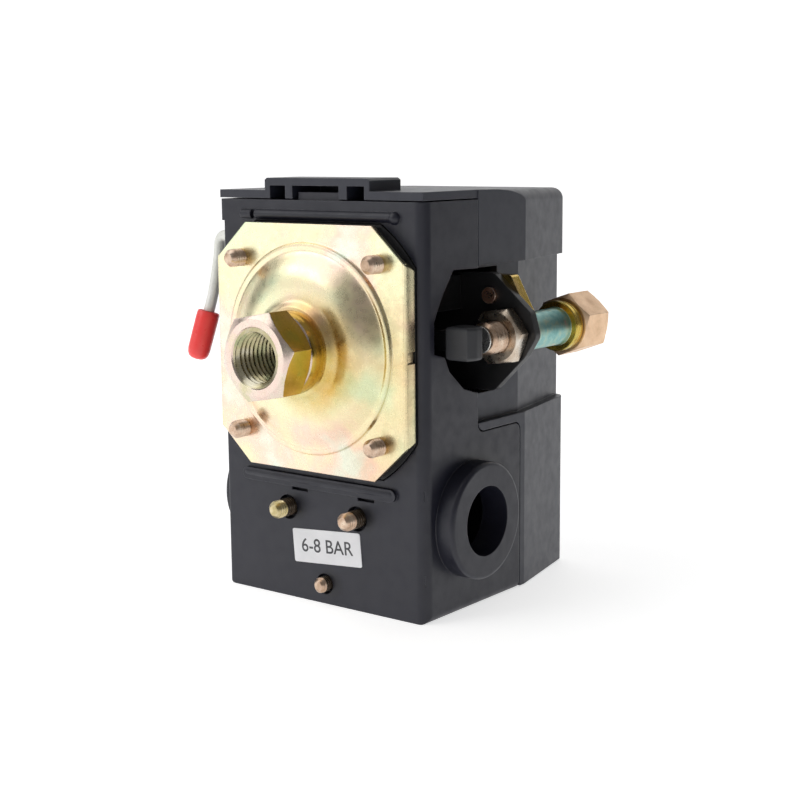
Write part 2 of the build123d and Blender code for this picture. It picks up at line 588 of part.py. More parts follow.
# =====================================================================================
# Contacts
# =====================================================================================

# ---- contact block: moulded block under the rocker ----
with BuildPart() as contact_block:
    block(-19.0, 19.0, FRONT_INSIDE_Y, 40.0, -54.5, -29.0)
    fillet(contact_block.edges().filter_by(Axis.Y), 1.0)
    for screw_x in (-BLOCK_SCREW_X, BLOCK_SCREW_X):
        rod(2.3, FRONT_INSIDE_Y - 1, 41.0, screw_x, BLOCK_SCREW_Z, mode=Mode.SUBTRACT)
        rod(3.8, 34.0, 41.0, screw_x, BLOCK_SCREW_Z, mode=Mode.SUBTRACT)
    for pole_x in (-POLE_X, POLE_X):
        for offset in (-TERMINAL_OFFSET, TERMINAL_OFFSET):
            rod(1.6, 31.8, 41.0, pole_x + offset, -48.0, mode=Mode.SUBTRACT)
    block(-2.05, 2.05, 31.0, 41.0, CONTACT_Z - 2.05, CONTACT_Z + 2.05, mode=Mode.SUBTRACT)
    # barrier between the two poles
    block(-1.0, 1.0, 39.5, 44.0, -54.5, -38.5)
save(contact_block, "contact_block")

# ---- four fixed terminals with their contact buttons ----
with BuildPart() as terminals:
    for pole_x in (-POLE_X, POLE_X):
        for offset in (-TERMINAL_OFFSET, TERMINAL_OFFSET):
            middle = pole_x + offset
            block(middle - 3.0, middle + 3.0, 40.0, 41.0, -54.0, -30.0)
            rod(2.0, 41.0, 41.8, middle, CONTACT_Z)
            rod(1.6, 39.0, 42.0, middle, -48.0, mode=Mode.SUBTRACT)
save(terminals, "terminals")

with BuildPart() as terminal_screws:
    for pole_x in (-POLE_X, POLE_X):
        for offset in (-TERMINAL_OFFSET, TERMINAL_OFFSET):
            slotted_screw(pole_x + offset, -48.0, 31.9, 41.0, 1.6, 2.9, 2.4)
save(terminal_screws, "terminal_screws")

# ---- moving carrier, its two contact bridges and their springs ----
with BuildPart() as contact_carrier:
    block(-18.0, 18.0, 44.5, 49.5, -37.0, -29.0)
    block(-2.0, 2.0, 32.5, 44.5, CONTACT_Z - 2.0, CONTACT_Z + 2.0)
    block(-5.0, 5.0, ROCKER_REAR_Y + 0.3, 49.5, -28.8, -24.5)
    block(-5.0, 5.0, 44.5, 49.5, -29.5, -28.0)
    for pole_x in (-POLE_X, POLE_X):
        rod(2.7, 44.0, 47.6, pole_x, CONTACT_Z, mode=Mode.SUBTRACT)
save(contact_carrier, "contact_carrier")

with BuildPart() as contact_bridges:
    for pole_x in (-POLE_X, POLE_X):
        block(pole_x - 7.0, pole_x + 7.0, 42.6, 43.6, CONTACT_Z - 2.0, CONTACT_Z + 2.0)
        for offset in (-TERMINAL_OFFSET, TERMINAL_OFFSET):
            rod(1.8, 41.9, 42.6, pole_x + offset, CONTACT_Z)
save(contact_bridges, "contact_bridges")

with BuildPart() as contact_springs:
    for pole_x in (-POLE_X, POLE_X):
        coil(2.0, 0.3, 3.5, 43.6, 47.6, pole_x, CONTACT_Z)
save(contact_springs, "contact_springs")

# ---- the two screws that hold the contact block ----
with BuildPart() as block_screws:
    for screw_x in (-BLOCK_SCREW_X, BLOCK_SCREW_X):
        slotted_screw(screw_x, BLOCK_SCREW_Z, 16.7, 34.0, 2.2, 3.6, 2.6)
save(block_screws, "block_screws")

# ---- ground strip and its two screws ----
with BuildPart() as ground_strip:
    block(-9.0, 11.0, FRONT_INSIDE_Y, 28.0, -59.35, -54.55)
    rod(1.95, 26.0, 29.0, 0.6, GROUND_Z, mode=Mode.SUBTRACT)
    rod(1.6, 26.0, 29.0, 7.0, GROUND_Z, mode=Mode.SUBTRACT)
save(ground_strip, "ground_strip")

with BuildPart() as ground_screws:
    slotted_screw(0.6, GROUND_Z, 19.4, 28.0, 1.95, 2.1, 2.0)
    slotted_screw(7.0, GROUND_Z, 24.5, 28.0, 1.6, 1.9, 2.0)
save(ground_screws, "ground_screws")

# =====================================================================================
# Unloader valve
# =====================================================================================

# ---- black shield plate ----
with BuildPart() as shield_plate:
    with BuildSketch(at_y(SHIELD_Y)):
        with BuildLine():
            Polyline((16.0, 17.0), (33.4, 17.4), (43.6, 8.6), (45.2, 3.2),
                     (42.2, -1.6), (33.6, -10.2), (16.0, -10.4), close=True)
        make_face()
        fillet(vertices().sort_by(Axis.X)[2:], 2.6)
        with Locations((VALVE_X, VALVE_Z)):
            Circle(3.8, mode=Mode.SUBTRACT)
        with Locations((32.5, 12.1)):
            Circle(1.5, mode=Mode.SUBTRACT)
        with Locations((18.5, 12.5)):
            Circle(1.7, mode=Mode.SUBTRACT)
    extrude(amount=SHIELD_Y - BRACKET_Y)
save(shield_plate, "shield_plate")

# ---- plated steel bracket that carries the valve ----
with BuildPart() as unloader_bracket:
    with BuildSketch(at_y(BRACKET_Y)):
        with BuildLine():
            Polyline((16.0, 16.8), (36.8, 16.8), (41.6, 8.0), (41.6, 1.0), (38.5, -2.4),
                     (33.0, -3.2), (30.0, -5.6), (16.0, -5.6), close=True)
        make_face()
        fillet(vertices().sort_by(Axis.X)[2:], 1.0)
        with Locations((VALVE_X, VALVE_Z)):
            Circle(3.8, mode=Mode.SUBTRACT)
        with Locations((32.5, 12.1)):
            Circle(1.5, mode=Mode.SUBTRACT)
        with Locations((18.5, 12.5)):
            Circle(1.7, mode=Mode.SUBTRACT)
    extrude(amount=BRACKET_Y - BRACKET_REAR_Y)
save(unloader_bracket, "unloader_bracket")

with BuildPart() as bracket_rivet:
    rod(1.5, SHIELD_Y, BRACKET_REAR_Y, 32.5, 12.1)
    rod(1.9, SHIELD_Y - 0.9, SHIELD_Y, 32.5, 12.1)
    rod(2.3, BRACKET_REAR_Y, BRACKET_REAR_Y + 0.8, 32.5, 12.1)
save(bracket_rivet, "bracket_rivet")

with BuildPart() as bracket_screw:
    slotted_screw(18.5, 12.5, 40.5, BRACKET_REAR_Y, 1.7, 3.0, 2.2)
save(bracket_screw, "bracket_screw")

# ---- valve body: threaded nose, barrel, shoulder and threaded tail with the tube's seat ----
with BuildPart() as valve_body:
    rod(3.8, NOSE_Y, BRACKET_REAR_Y, VALVE_X, VALVE_Z)
    rod(4.5, BRACKET_REAR_Y, 67.3, VALVE_X, VALVE_Z)
    rod(6.1, 67.3, 70.3, VALVE_X, VALVE_Z)
    rod(5.15, 70.3, 74.3, VALVE_X, VALVE_Z)
    rod(1.9, NOSE_Y - 1, 75.0, VALVE_X, VALVE_Z, mode=Mode.SUBTRACT)
    rod(3.3, 53.0, 62.0, VALVE_X, VALVE_Z, mode=Mode.SUBTRACT)
    rod(TUBE_RADIUS, 66.5, 75.0, VALVE_X, VALVE_Z, mode=Mode.SUBTRACT)
save(valve_body, "valve_body")

with BuildPart() as lock_nut:
    hexagon(12.2, 41.6, SHIELD_Y, VALVE_X, VALVE_Z, turn=8.0)
    rod(3.8, 41.0, SHIELD_Y + 1, VALVE_X, VALVE_Z, mode=Mode.SUBTRACT)
save(lock_nut, "lock_nut")

with BuildPart() as valve_pin:
    rod(1.8, PIN_DISC_Y, 60.5, VALVE_X, VALVE_Z)
    rod(3.2, PIN_DISC_Y, PIN_DISC_Y + 0.3, VALVE_X, VALVE_Z)
    rod(3.0, 53.05, 54.0, VALVE_X, VALVE_Z)
save(valve_pin, "valve_pin")

with BuildPart() as valve_spring:
    coil(2.5, 0.3, 5, 54.05, 61.9, VALVE_X, VALVE_Z)
save(valve_spring, "valve_spring")

with BuildPart() as ferrule:
    rod(5.1, 74.4, 76.4, VALVE_X, VALVE_Z)
    rod(TUBE_RADIUS, 73.0, 77.0, VALVE_X, VALVE_Z, mode=Mode.SUBTRACT)
save(ferrule, "ferrule")

with BuildPart() as compression_nut:
    hexagon(VALVE_NUT_FLATS, 70.45, VALVE_NUT_END_Y, VALVE_X, VALVE_Z, turn=VALVE_NUT_TURN)
    with BuildSketch(Plane(origin=(VALVE_X, 0, VALVE_Z), x_dir=(1, 0, 0), z_dir=(0, 0, 1))):
        with BuildLine():
            Polyline((0, 70.45), (6.9, 70.45), (8.0, 71.1), (8.0, VALVE_NUT_END_Y - 0.7),
                     (6.9, VALVE_NUT_END_Y), (0, VALVE_NUT_END_Y), close=True)
        make_face()
    revolve(axis=Axis((VALVE_X, 0, VALVE_Z), (0, 1, 0)), mode=Mode.INTERSECT)
    rod(5.25, 70.0, 76.5, VALVE_X, VALVE_Z, mode=Mode.SUBTRACT)
    rod(TUBE_RADIUS, 76.0, VALVE_NUT_END_Y + 1, VALVE_X, VALVE_Z, mode=Mode.SUBTRACT)
save(compression_nut, "compression_nut")

# =====================================================================================
# Off-lever
# =====================================================================================

# ---- shaft through the left wall with its cam ----
with BuildPart() as lever_cam:
    with BuildSketch(Plane.YZ.offset(-26.6)):
        with BuildLine():
            Polyline((LEVER_Y - 2.0, LEVER_Z + 1.0), (LEVER_Y - 1.0, LEVER_Z + 2.6),
                     (LEVER_Y + 1.0, LEVER_Z + 2.6), (LEVER_Y + 2.4, LEVER_Z + 1.0),
                     (LEVER_Y + 2.8, 13.4), (LEVER_Y + 1.0, 11.6), (LEVER_Y - 0.6, 12.6),
                     close=True)
        make_face()
        with Locations((LEVER_Y, LEVER_Z)):
            Circle(LEVER_RADIUS, mode=Mode.SUBTRACT)
    extrude(amount=2.0)
save(lever_cam, "lever_cam")

# ---- bent wire lever ----
with BuildPart() as lever_wire:
    with BuildLine() as wire_path:
        Line((-24.6, LEVER_Y, LEVER_Z), (-35.0, LEVER_Y, LEVER_Z))
        Bezier((-35.0, LEVER_Y, LEVER_Z), (-37.0, LEVER_Y, LEVER_Z),
               (-37.1, LEVER_Y - 0.2, LEVER_Z - 2.2))
        Bezier((-37.1, LEVER_Y - 0.2, LEVER_Z - 2.2), (-37.3, 27.2, 16.0),
               (-37.9, 25.8, 9.5), (-38.5, 24.7, 5.8))
        Line((-38.5, 24.7, 5.8), (-40.2, 22.35, -4.2))
    with BuildSketch(Plane(origin=(-24.6, LEVER_Y, LEVER_Z), z_dir=(-1, 0, 0))):
        Circle(LEVER_RADIUS)
    sweep(path=wire_path.line, transition=Transition.ROUND)
save(lever_wire, "lever_wire")

# ---- red sleeve on the end of the lever ----
sleeve_plane = Plane(origin=(-38.45, 24.8, 6.1), z_dir=(-1.7, -2.35, -10.0))
with BuildPart() as lever_sleeve:
    with BuildSketch(sleeve_plane):
        Circle(2.85)
    extrude(amount=12.4)
    fillet(lever_sleeve.edges().sort_by(Axis.Z)[0], 2.1)
    fillet(lever_sleeve.edges().sort_by(Axis.Z)[-1], 0.5)
    add(lever_wire.part, mode=Mode.SUBTRACT)
save(lever_sleeve, "lever_sleeve")
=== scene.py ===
import json
import math

import bpy
from mathutils import Matrix, Vector


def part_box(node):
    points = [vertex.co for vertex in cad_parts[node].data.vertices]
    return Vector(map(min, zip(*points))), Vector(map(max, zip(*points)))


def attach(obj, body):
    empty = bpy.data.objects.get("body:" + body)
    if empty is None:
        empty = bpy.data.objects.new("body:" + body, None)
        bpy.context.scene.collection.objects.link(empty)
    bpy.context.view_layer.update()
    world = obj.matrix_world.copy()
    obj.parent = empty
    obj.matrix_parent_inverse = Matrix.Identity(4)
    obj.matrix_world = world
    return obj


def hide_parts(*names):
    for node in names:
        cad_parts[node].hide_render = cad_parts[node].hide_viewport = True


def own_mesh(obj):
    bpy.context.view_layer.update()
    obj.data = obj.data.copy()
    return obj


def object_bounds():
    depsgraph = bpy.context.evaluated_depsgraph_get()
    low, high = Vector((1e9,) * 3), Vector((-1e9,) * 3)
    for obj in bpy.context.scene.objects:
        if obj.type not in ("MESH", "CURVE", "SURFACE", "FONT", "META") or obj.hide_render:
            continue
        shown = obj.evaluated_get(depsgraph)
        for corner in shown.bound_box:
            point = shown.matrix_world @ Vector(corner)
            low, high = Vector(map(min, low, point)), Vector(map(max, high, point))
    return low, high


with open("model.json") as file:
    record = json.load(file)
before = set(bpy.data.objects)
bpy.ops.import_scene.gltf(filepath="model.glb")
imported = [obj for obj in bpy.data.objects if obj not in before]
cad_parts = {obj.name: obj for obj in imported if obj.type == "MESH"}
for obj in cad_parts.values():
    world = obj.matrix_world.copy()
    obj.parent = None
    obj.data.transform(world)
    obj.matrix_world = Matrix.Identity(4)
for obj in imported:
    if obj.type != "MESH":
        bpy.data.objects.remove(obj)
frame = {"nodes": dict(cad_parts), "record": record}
cad_low, cad_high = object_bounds()

MM = 0.001
TAU = 2 * math.pi
WHITE = (1.0, 1.0, 1.0)
node_object = frame["nodes"]
mounts = {mount["name"]: mount for mount in frame["record"]["mounts"]}


# --------------------------------------------------------------------------------------
# Small helpers for materials; lengths here are metres, noise scales are per metre
# --------------------------------------------------------------------------------------

EDGE_DOT = (0.75, 0.985)
# noise that breaks up the spots of painted shade
PAINTED_SHADE_SCALE = 160.0
CLOUD_SCALE = 60.0
SCUFF_SCALE = 900.0
PLASTIC_SHEEN_SCALE = 350.0
PLASTIC_GRAIN_SCALE = 4200.0
PLASTIC_GRAIN = 0.10
SPECKLE_SCALE = 2600.0
METAL_EDGE = 0.0002
METAL_SHEEN_SCALE = 500.0
METAL_GRAIN_SCALE = 3000.0
METAL_GRAIN_HEIGHT = 0.00004
SOFT_CLOUD_SCALE = 200.0
SOFT_SHEEN_SCALE = 700.0
SOFT_GRAIN_SCALE = 2500.0
GRAIN_HEIGHT = 0.00006


class Shader:
    """A Principled material with short calls for the nodes used here."""

    def __init__(self, name, metallic=0.0, roughness=0.5, **settings):
        self.material = bpy.data.materials.new(name)
        self.material.use_nodes = True
        self.tree = self.material.node_tree
        self.nodes = self.tree.nodes
        self.bsdf = self.nodes["Principled BSDF"]
        self.bsdf.inputs["Metallic"].default_value = metallic
        self.bsdf.inputs["Roughness"].default_value = roughness
        for socket, value in settings.items():
            self.bsdf.inputs[socket.replace("_", " ")].default_value = value
        self.coordinates = self.nodes.new("ShaderNodeTexCoord").outputs["Object"]

    def link(self, output, target):
        self.tree.links.new(output, target)

    def noise(self, scale, detail=3.0, roughness=0.55, stretch=None):
        """Noise over the object's own coordinates; stretch scales the three axes."""
        texture = self.nodes.new("ShaderNodeTexNoise")
        texture.inputs["Scale"].default_value = scale
        texture.inputs["Detail"].default_value = detail
        texture.inputs["Roughness"].default_value = roughness
        source = self.coordinates
        if stretch:
            mapping = self.nodes.new("ShaderNodeMapping")
            mapping.inputs["Scale"].default_value = stretch
            self.link(source, mapping.inputs["Vector"])
            source = mapping.outputs["Vector"]
        self.link(source, texture.inputs["Vector"])
        return texture.outputs["Fac"]

    def ramp(self, factor, stops):
        """Colour ramp; stops are (position, (r, g, b))."""
        node = self.nodes.new("ShaderNodeValToRGB")
        elements = node.color_ramp.elements
        while len(elements) < len(stops):
            elements.new(0.5)
        for element, (position, colour) in zip(elements, stops):
            element.position = position
            element.color = (*colour, 1.0)
        self.link(factor, node.inputs["Fac"])
        return node.outputs["Color"]

    def spread(self, factor, low, high, from_low=0.3, from_high=0.7):
        """Map a factor from one range to another, clamped."""
        node = self.nodes.new("ShaderNodeMapRange")
        node.inputs["From Min"].default_value = from_low
        node.inputs["From Max"].default_value = from_high
        node.inputs["To Min"].default_value = low
        node.inputs["To Max"].default_value = high
        self.link(factor, node.inputs["Value"])
        return node.outputs["Result"]

    def mix(self, factor, first, second, blend="MIX"):
        """Mix two colours, each a tuple or an output, by a number or an output."""
        node = self.nodes.new("ShaderNodeMix")
        node.data_type = "RGBA"
        node.blend_type = blend
        if isinstance(factor, float):
            node.inputs["Factor"].default_value = factor
        else:
            self.link(factor, node.inputs["Factor"])
        for value, socket in ((first, node.inputs[6]), (second, node.inputs[7])):
            if isinstance(value, tuple):
                socket.default_value = (*value, 1.0)
            else:
                self.link(value, socket)
        return node.outputs[2]

    def edges(self, radius=0.00035):
        """(softened normal, mask that is bright along edges)."""
        bevel = self.nodes.new("ShaderNodeBevel")
        bevel.samples = 4
        bevel.inputs["Radius"].default_value = radius
        geometry = self.nodes.new("ShaderNodeNewGeometry")
        dot = self.nodes.new("ShaderNodeVectorMath")
        dot.operation = "DOT_PRODUCT"
        self.link(bevel.outputs["Normal"], dot.inputs[0])
        self.link(geometry.outputs["Normal"], dot.inputs[1])
        mask = self.spread(dot.outputs["Value"], 1.0, 0.0, *EDGE_DOT)
        return bevel.outputs["Normal"], mask

    def product(self, first, second):
        node = self.nodes.new("ShaderNodeMath")
        node.operation = "MULTIPLY"
        self.link(first, node.inputs[0])
        self.link(second, node.inputs[1])
        return node.outputs[0]

    def bump(self, height, strength, distance, normal=None):
        node = self.nodes.new("ShaderNodeBump")
        node.inputs["Strength"].default_value = strength
        node.inputs["Distance"].default_value = distance
        self.link(height, node.inputs["Height"])
        if normal:
            self.link(normal, node.inputs["Normal"])
        self.link(node.outputs["Normal"], self.bsdf.inputs["Normal"])

    def painted_shade(self, centre, radius, width, tint):
        """Painted shade: darken the colour already set in a soft spot round a point of the
        object.
        """
        source = self.bsdf.inputs["Base Color"].links[0].from_socket
        distance = self.nodes.new("ShaderNodeVectorMath")
        distance.operation = "DISTANCE"
        self.link(self.coordinates, distance.inputs[0])
        distance.inputs[1].default_value = centre
        spot = self.spread(distance.outputs["Value"], 1.0, 0.0, radius, radius + width)
        broken = self.product(spot, self.spread(self.noise(PAINTED_SHADE_SCALE, 4.0), 0.55, 1.0))
        self.colour(self.mix(broken, source, tint, "MULTIPLY"))

    def colour(self, output):
        self.link(output, self.bsdf.inputs["Base Color"])

    def roughness(self, output):
        self.link(output, self.bsdf.inputs["Roughness"])


def moulded_plastic(name, dark, light, worn, rough=(0.34, 0.5), painted_shades=()):
    """Cloudy plastic with edges worn to a paler tint; the last argument lists spots of
    painted shade, each (centre, radius, width, tint)."""
    shader = Shader(name, Specular_IOR_Level=0.5)
    normal, mask = shader.edges()
    tone = shader.ramp(shader.noise(CLOUD_SCALE, 4.0), ((0.3, dark), (0.7, light)))
    scuffs = shader.noise(SCUFF_SCALE, 2.0, stretch=(1.0, 1.0, 0.15))
    wear = shader.product(mask, shader.spread(scuffs, 0.15, 0.9))
    shader.colour(shader.mix(wear, tone, worn))
    shader.roughness(shader.spread(shader.noise(PLASTIC_SHEEN_SCALE, 5.0), *rough))
    shader.bump(shader.noise(PLASTIC_GRAIN_SCALE, 2.0), PLASTIC_GRAIN, GRAIN_HEIGHT, normal)
    # spots of painted shade darken the plastic
    for painted_shade in painted_shades:
        shader.painted_shade(*painted_shade)
    return shader.material


def plated_metal(name, stops, rough=(0.2, 0.34), patch=120.0, edge=(1.0, 0.95, 0.85),
                 grain=0.08, painted_shades=(), metallic=1.0):
    """Plated steel whose tint drifts in patches; stops are the tints over the noise, and
    edge is the paler tint along its edges."""
    shader = Shader(name, metallic=metallic)
    normal, mask = shader.edges(METAL_EDGE)
    tone = shader.ramp(shader.noise(patch, 4.0, 0.6), stops)
    speckle = shader.spread(shader.noise(SPECKLE_SCALE, 2.0), 0.86, 1.0)
    speckled = shader.mix(0.6, tone, speckle, "MULTIPLY")
    shader.colour(shader.mix(shader.spread(mask, 0.0, 0.6, 0.0, 1.0), speckled, edge))
    shader.roughness(shader.spread(shader.noise(METAL_SHEEN_SCALE, 4.0), *rough))
    shader.bump(shader.noise(METAL_GRAIN_SCALE, 3.0), grain, METAL_GRAIN_HEIGHT, normal)
    # spots of painted shade darken the plating
    for painted_shade in painted_shades:
        shader.painted_shade(*painted_shade)
    return shader.material


def rubbery(name, dark, light, rough=(0.5, 0.7), grain=0.25):
    """Even, unplated surface: rubber, vinyl, paper or ink."""
    shader = Shader(name)
    cloud = shader.noise(SOFT_CLOUD_SCALE, 4.0)
    shader.colour(shader.ramp(cloud, ((0.3, dark), (0.7, light))))
    shader.roughness(shader.spread(shader.noise(SOFT_SHEEN_SCALE), *rough))
    shader.bump(shader.noise(SOFT_GRAIN_SCALE, 3.0), grain, GRAIN_HEIGHT)
    return shader.material


# --------------------------------------------------------------------------------------
# Finishes
# --------------------------------------------------------------------------------------

# painted shadow: darker spots beside the holes of the screws on the front, where the screws
# throw shade
HOLE_PLACES = ((-0.0082, -0.0390), (0.0132, -0.0390), (0.0026, -0.0566))
hole_shade = [((x, 0.0215, z), 0.0018, 0.0022, (0.12, 0.12, 0.12)) for x, z in HOLE_PLACES]
base_plastic = moulded_plastic("base_plastic", (0.011, 0.0115, 0.021), (0.0145, 0.015, 0.026),
                               (0.12, 0.12, 0.14), painted_shades=hole_shade)
cover_plastic = moulded_plastic("cover_plastic", (0.022, 0.024, 0.037),
                                (0.0245, 0.0265, 0.040), (0.15, 0.155, 0.18), rough=(0.36, 0.48))
cap_plastic = moulded_plastic("cap_plastic", (0.028, 0.029, 0.033), (0.040, 0.041, 0.046),
                              (0.14, 0.14, 0.15), rough=(0.4, 0.55))
brown_plastic = moulded_plastic("brown_plastic", (0.055, 0.026, 0.014), (0.085, 0.040, 0.02),
                                (0.16, 0.09, 0.06), rough=(0.3, 0.45))
white_plastic = moulded_plastic("white_plastic", (0.62, 0.61, 0.56), (0.74, 0.73, 0.68),
                                (0.85, 0.85, 0.82), rough=(0.4, 0.55))
black_steel = moulded_plastic("black_steel", (0.005, 0.005, 0.006), (0.009, 0.009, 0.010),
                              (0.10, 0.10, 0.11), rough=(0.34, 0.48))
yellow_zinc = plated_metal(
    "yellow_zinc",
    ((0.37, (0.76, 0.86, 0.58)), (0.45, (0.92, 0.88, 0.58)), (0.51, (0.94, 0.83, 0.55)),
     (0.58, (0.95, 0.73, 0.58)), (0.64, (0.82, 0.86, 0.72))),
    rough=(0.22, 0.34), patch=30.0, grain=0.05,
    # painted reflection: a dark orange ring round the dome's collar; painted shade: the plate's
    # right side and lower right corner
    painted_shades=(((0.004, 0.0145, -0.001), 0.0095, 0.006, (0.72, 0.50, 0.16)),
            ((0.030, 0.018, -0.004), 0.006, 0.022, (0.84, 0.74, 0.62)),
            ((0.020, 0.018, -0.030), 0.004, 0.018, (0.88, 0.78, 0.72))))
gold_zinc = plated_metal(
    "gold_zinc",
    ((0.28, (0.42, 0.44, 0.10)), (0.42, (0.62, 0.44, 0.07)), (0.58, (0.72, 0.50, 0.14)),
     (0.74, (0.74, 0.48, 0.26))),
    rough=(0.16, 0.28), patch=80.0, edge=(0.95, 0.85, 0.70))
# painted highlight: paler copy of the plating for the port nut's front faces
lit_face_zinc = plated_metal(
    "lit_face_zinc",
    ((0.34, (0.74, 0.64, 0.46)), (0.46, (0.80, 0.62, 0.54)), (0.56, (0.78, 0.66, 0.56)),
     (0.66, (0.66, 0.60, 0.40))),
    rough=(0.20, 0.32), patch=110.0)
# painted shade: darker copy of the plating for the port nut's bore
shaded_bore_zinc = plated_metal(
    "shaded_bore_zinc",
    ((0.34, (0.34, 0.36, 0.20)), (0.50, (0.50, 0.44, 0.26)), (0.66, (0.56, 0.52, 0.40))),
    rough=(0.20, 0.32), patch=160.0)
nickel_zinc = plated_metal(
    "nickel_zinc",
    ((0.30, (0.50, 0.38, 0.28)), (0.48, (0.66, 0.56, 0.45)), (0.66, (0.74, 0.68, 0.60))),
    rough=(0.20, 0.36), patch=260.0, edge=(0.95, 0.90, 0.82))
lever_zinc = plated_metal(
    "lever_zinc", ((0.3, (0.86, 0.87, 0.80)), (0.7, (0.96, 0.96, 0.92))),
    rough=(0.42, 0.58), patch=260.0, metallic=0.4)
copper_zinc = plated_metal(
    "copper_zinc",
    ((0.3, (0.42, 0.28, 0.18)), (0.5, (0.64, 0.46, 0.34)), (0.7, (0.78, 0.64, 0.50))),
    rough=(0.22, 0.42), patch=420.0)
bright_zinc = plated_metal(
    "bright_zinc", ((0.3, (0.66, 0.66, 0.64)), (0.7, (0.84, 0.83, 0.80))),
    rough=(0.18, 0.34), patch=260.0)
blue_zinc = plated_metal(
    "blue_zinc",
    ((0.32, (0.20, 0.42, 0.40)), (0.48, (0.30, 0.52, 0.49)), (0.60, (0.42, 0.56, 0.44)),
     (0.70, (0.60, 0.46, 0.42))),
    rough=(0.34, 0.5), patch=420.0, edge=(0.70, 0.80, 0.76), grain=0.3)
spring_steel = plated_metal(
    "spring_steel", ((0.3, (0.42, 0.42, 0.42)), (0.7, (0.62, 0.62, 0.61))),
    rough=(0.2, 0.35), patch=300.0)
copper = plated_metal(
    "copper", ((0.3, (0.70, 0.36, 0.24)), (0.7, (0.88, 0.54, 0.40))),
    rough=(0.22, 0.4), patch=400.0)
screw_zinc = plated_metal(
    "screw_zinc",
    ((0.3, (0.44, 0.36, 0.16)), (0.5, (0.66, 0.56, 0.32)), (0.7, (0.76, 0.66, 0.46))),
    rough=(0.22, 0.38), patch=380.0)
# painted shade: dark finish for the screw shanks down in their holes
shaded_shank_zinc = plated_metal(
    "shaded_shank_zinc", ((0.3, (0.030, 0.024, 0.018)), (0.7, (0.09, 0.065, 0.045))),
    rough=(0.45, 0.6), patch=420.0)
brass = plated_metal(
    "brass", ((0.3, (0.74, 0.50, 0.31)), (0.5, (0.86, 0.60, 0.39)), (0.7, (0.92, 0.67, 0.46))),
    rough=(0.34, 0.5), patch=240.0, edge=(0.95, 0.80, 0.62), grain=0.14)
black_rubber = rubbery("black_rubber", (0.012, 0.012, 0.013), (0.022, 0.022, 0.023))
red_vinyl = rubbery("red_vinyl", (1.0, 0.060, 0.058), (1.0, 0.085, 0.080),
                    rough=(0.26, 0.38), grain=0.06)
label_paper = rubbery("label_paper", (0.80, 0.80, 0.82), (0.88, 0.88, 0.90),
                      rough=(0.5, 0.65), grain=0.08)
ink = rubbery("ink", (0.05, 0.05, 0.055), (0.10, 0.10, 0.11), rough=(0.5, 0.6), grain=0.05)

slot_finish = {
    "black_plastic": base_plastic, "brown_plastic": brown_plastic,
    "white_plastic": white_plastic, "yellow_zinc": yellow_zinc, "bright_zinc": bright_zinc,
    "copper_zinc": copper_zinc, "blue_zinc": blue_zinc, "spring_steel": spring_steel,
    "black_steel": black_steel, "copper": copper, "brass": brass,
    "black_rubber": black_rubber, "red_vinyl": red_vinyl, "label_paper": label_paper,
}
node_finish = {"cover": cover_plastic, "arm_cap": cap_plastic, "unloader_bracket": gold_zinc}


def smooth_by_angle(mesh, degrees):
    """Shade the mesh smooth, with edges sharper than the angle left crisp."""
    mesh.shade_smooth()
    limit = math.cos(math.radians(degrees))
    faces_of_edge = {}
    for polygon in mesh.polygons:
        for key in polygon.edge_keys:
            faces_of_edge.setdefault(key, []).append(polygon.index)
    for edge in mesh.edges:
        faces = faces_of_edge.get(tuple(sorted(edge.vertices)), [])
        if len(faces) == 2:
            first, second = (mesh.polygons[index].normal for index in faces)
            edge.use_edge_sharp = first.dot(second) < limit


for part in frame["record"]["subparts"]:
    node = part["node"]
    finish = node_finish.get(node, slot_finish[part["material_slot"]])
    mesh = node_object[node].data
    mesh.materials.clear()
    mesh.materials.append(finish)


# --------------------------------------------------------------------------------------
# Turned and hexagonal pieces: grids of rings around an axis along Y, in millimetres
# --------------------------------------------------------------------------------------

UNLIMITED = 1e9


def circle(radius):
    """Radius function of a round ring."""
    return lambda angle: radius


def turned(profile):
    """Round rings from a profile of (depth y, radius)."""
    return [(y, circle(radius)) for y, radius in profile]


def hexagon(flats, turn, limit=UNLIMITED):
    """Hexagon's radius at an angle, cut back to a cone's radius by limit."""
    def radius(angle):
        offset = (angle - math.radians(turn)) % (math.pi / 3) - math.pi / 6
        return min(flats / 2 / math.cos(offset), limit)
    return radius


def thread(y, crest, root, pitch):
    """Radius of a screw thread at depth y, between its two radii."""
    def radius(angle):
        phase = (y / pitch + angle / TAU) % 1.0
        return root + (crest - root) * (1 - abs(2 * phase - 1)) ** 0.8
    return radius


def ring_angles(count, exact=()):
    """Even angles round a ring, with the nearest ones moved onto the exact corners."""
    angles = [TAU * index / count for index in range(count)]
    spacing = TAU / count
    for corner in exact:
        corner %= TAU
        gaps = [abs((angle - corner + math.pi) % TAU - math.pi) for angle in angles]
        nearest = gaps.index(min(gaps))
        if gaps[nearest] < spacing:
            angles[nearest] = corner
    return sorted(angles)


def ring_piece(name, rows, finish, body, centre=(0.0, 0.0), angles=None, closed=True,
               count=96):
    """Grid of rings; rows are (depth y in mm, radius function). The last ring meets the
    first when closed, otherwise both ends are capped."""
    angles = angles or ring_angles(count)
    vertices = []
    for y, radius in rows:
        for angle in angles:
            r = radius(angle)
            vertices.append(((centre[0] + r * math.cos(angle)) * MM, y * MM,
                             (centre[1] + r * math.sin(angle)) * MM))
    n = len(angles)
    faces = []
    row_pairs = len(rows) if closed else len(rows) - 1
    for row in range(row_pairs):
        lower = row * n
        upper = ((row + 1) % len(rows)) * n
        for i in range(n):
            j = (i + 1) % n
            faces.append((lower + i, lower + j, upper + j, upper + i))
    if not closed:
        faces.append(tuple(range(n))[::-1])
        faces.append(tuple((len(rows) - 1) * n + i for i in range(n)))
    return mesh_piece(name, vertices, faces, finish, body)


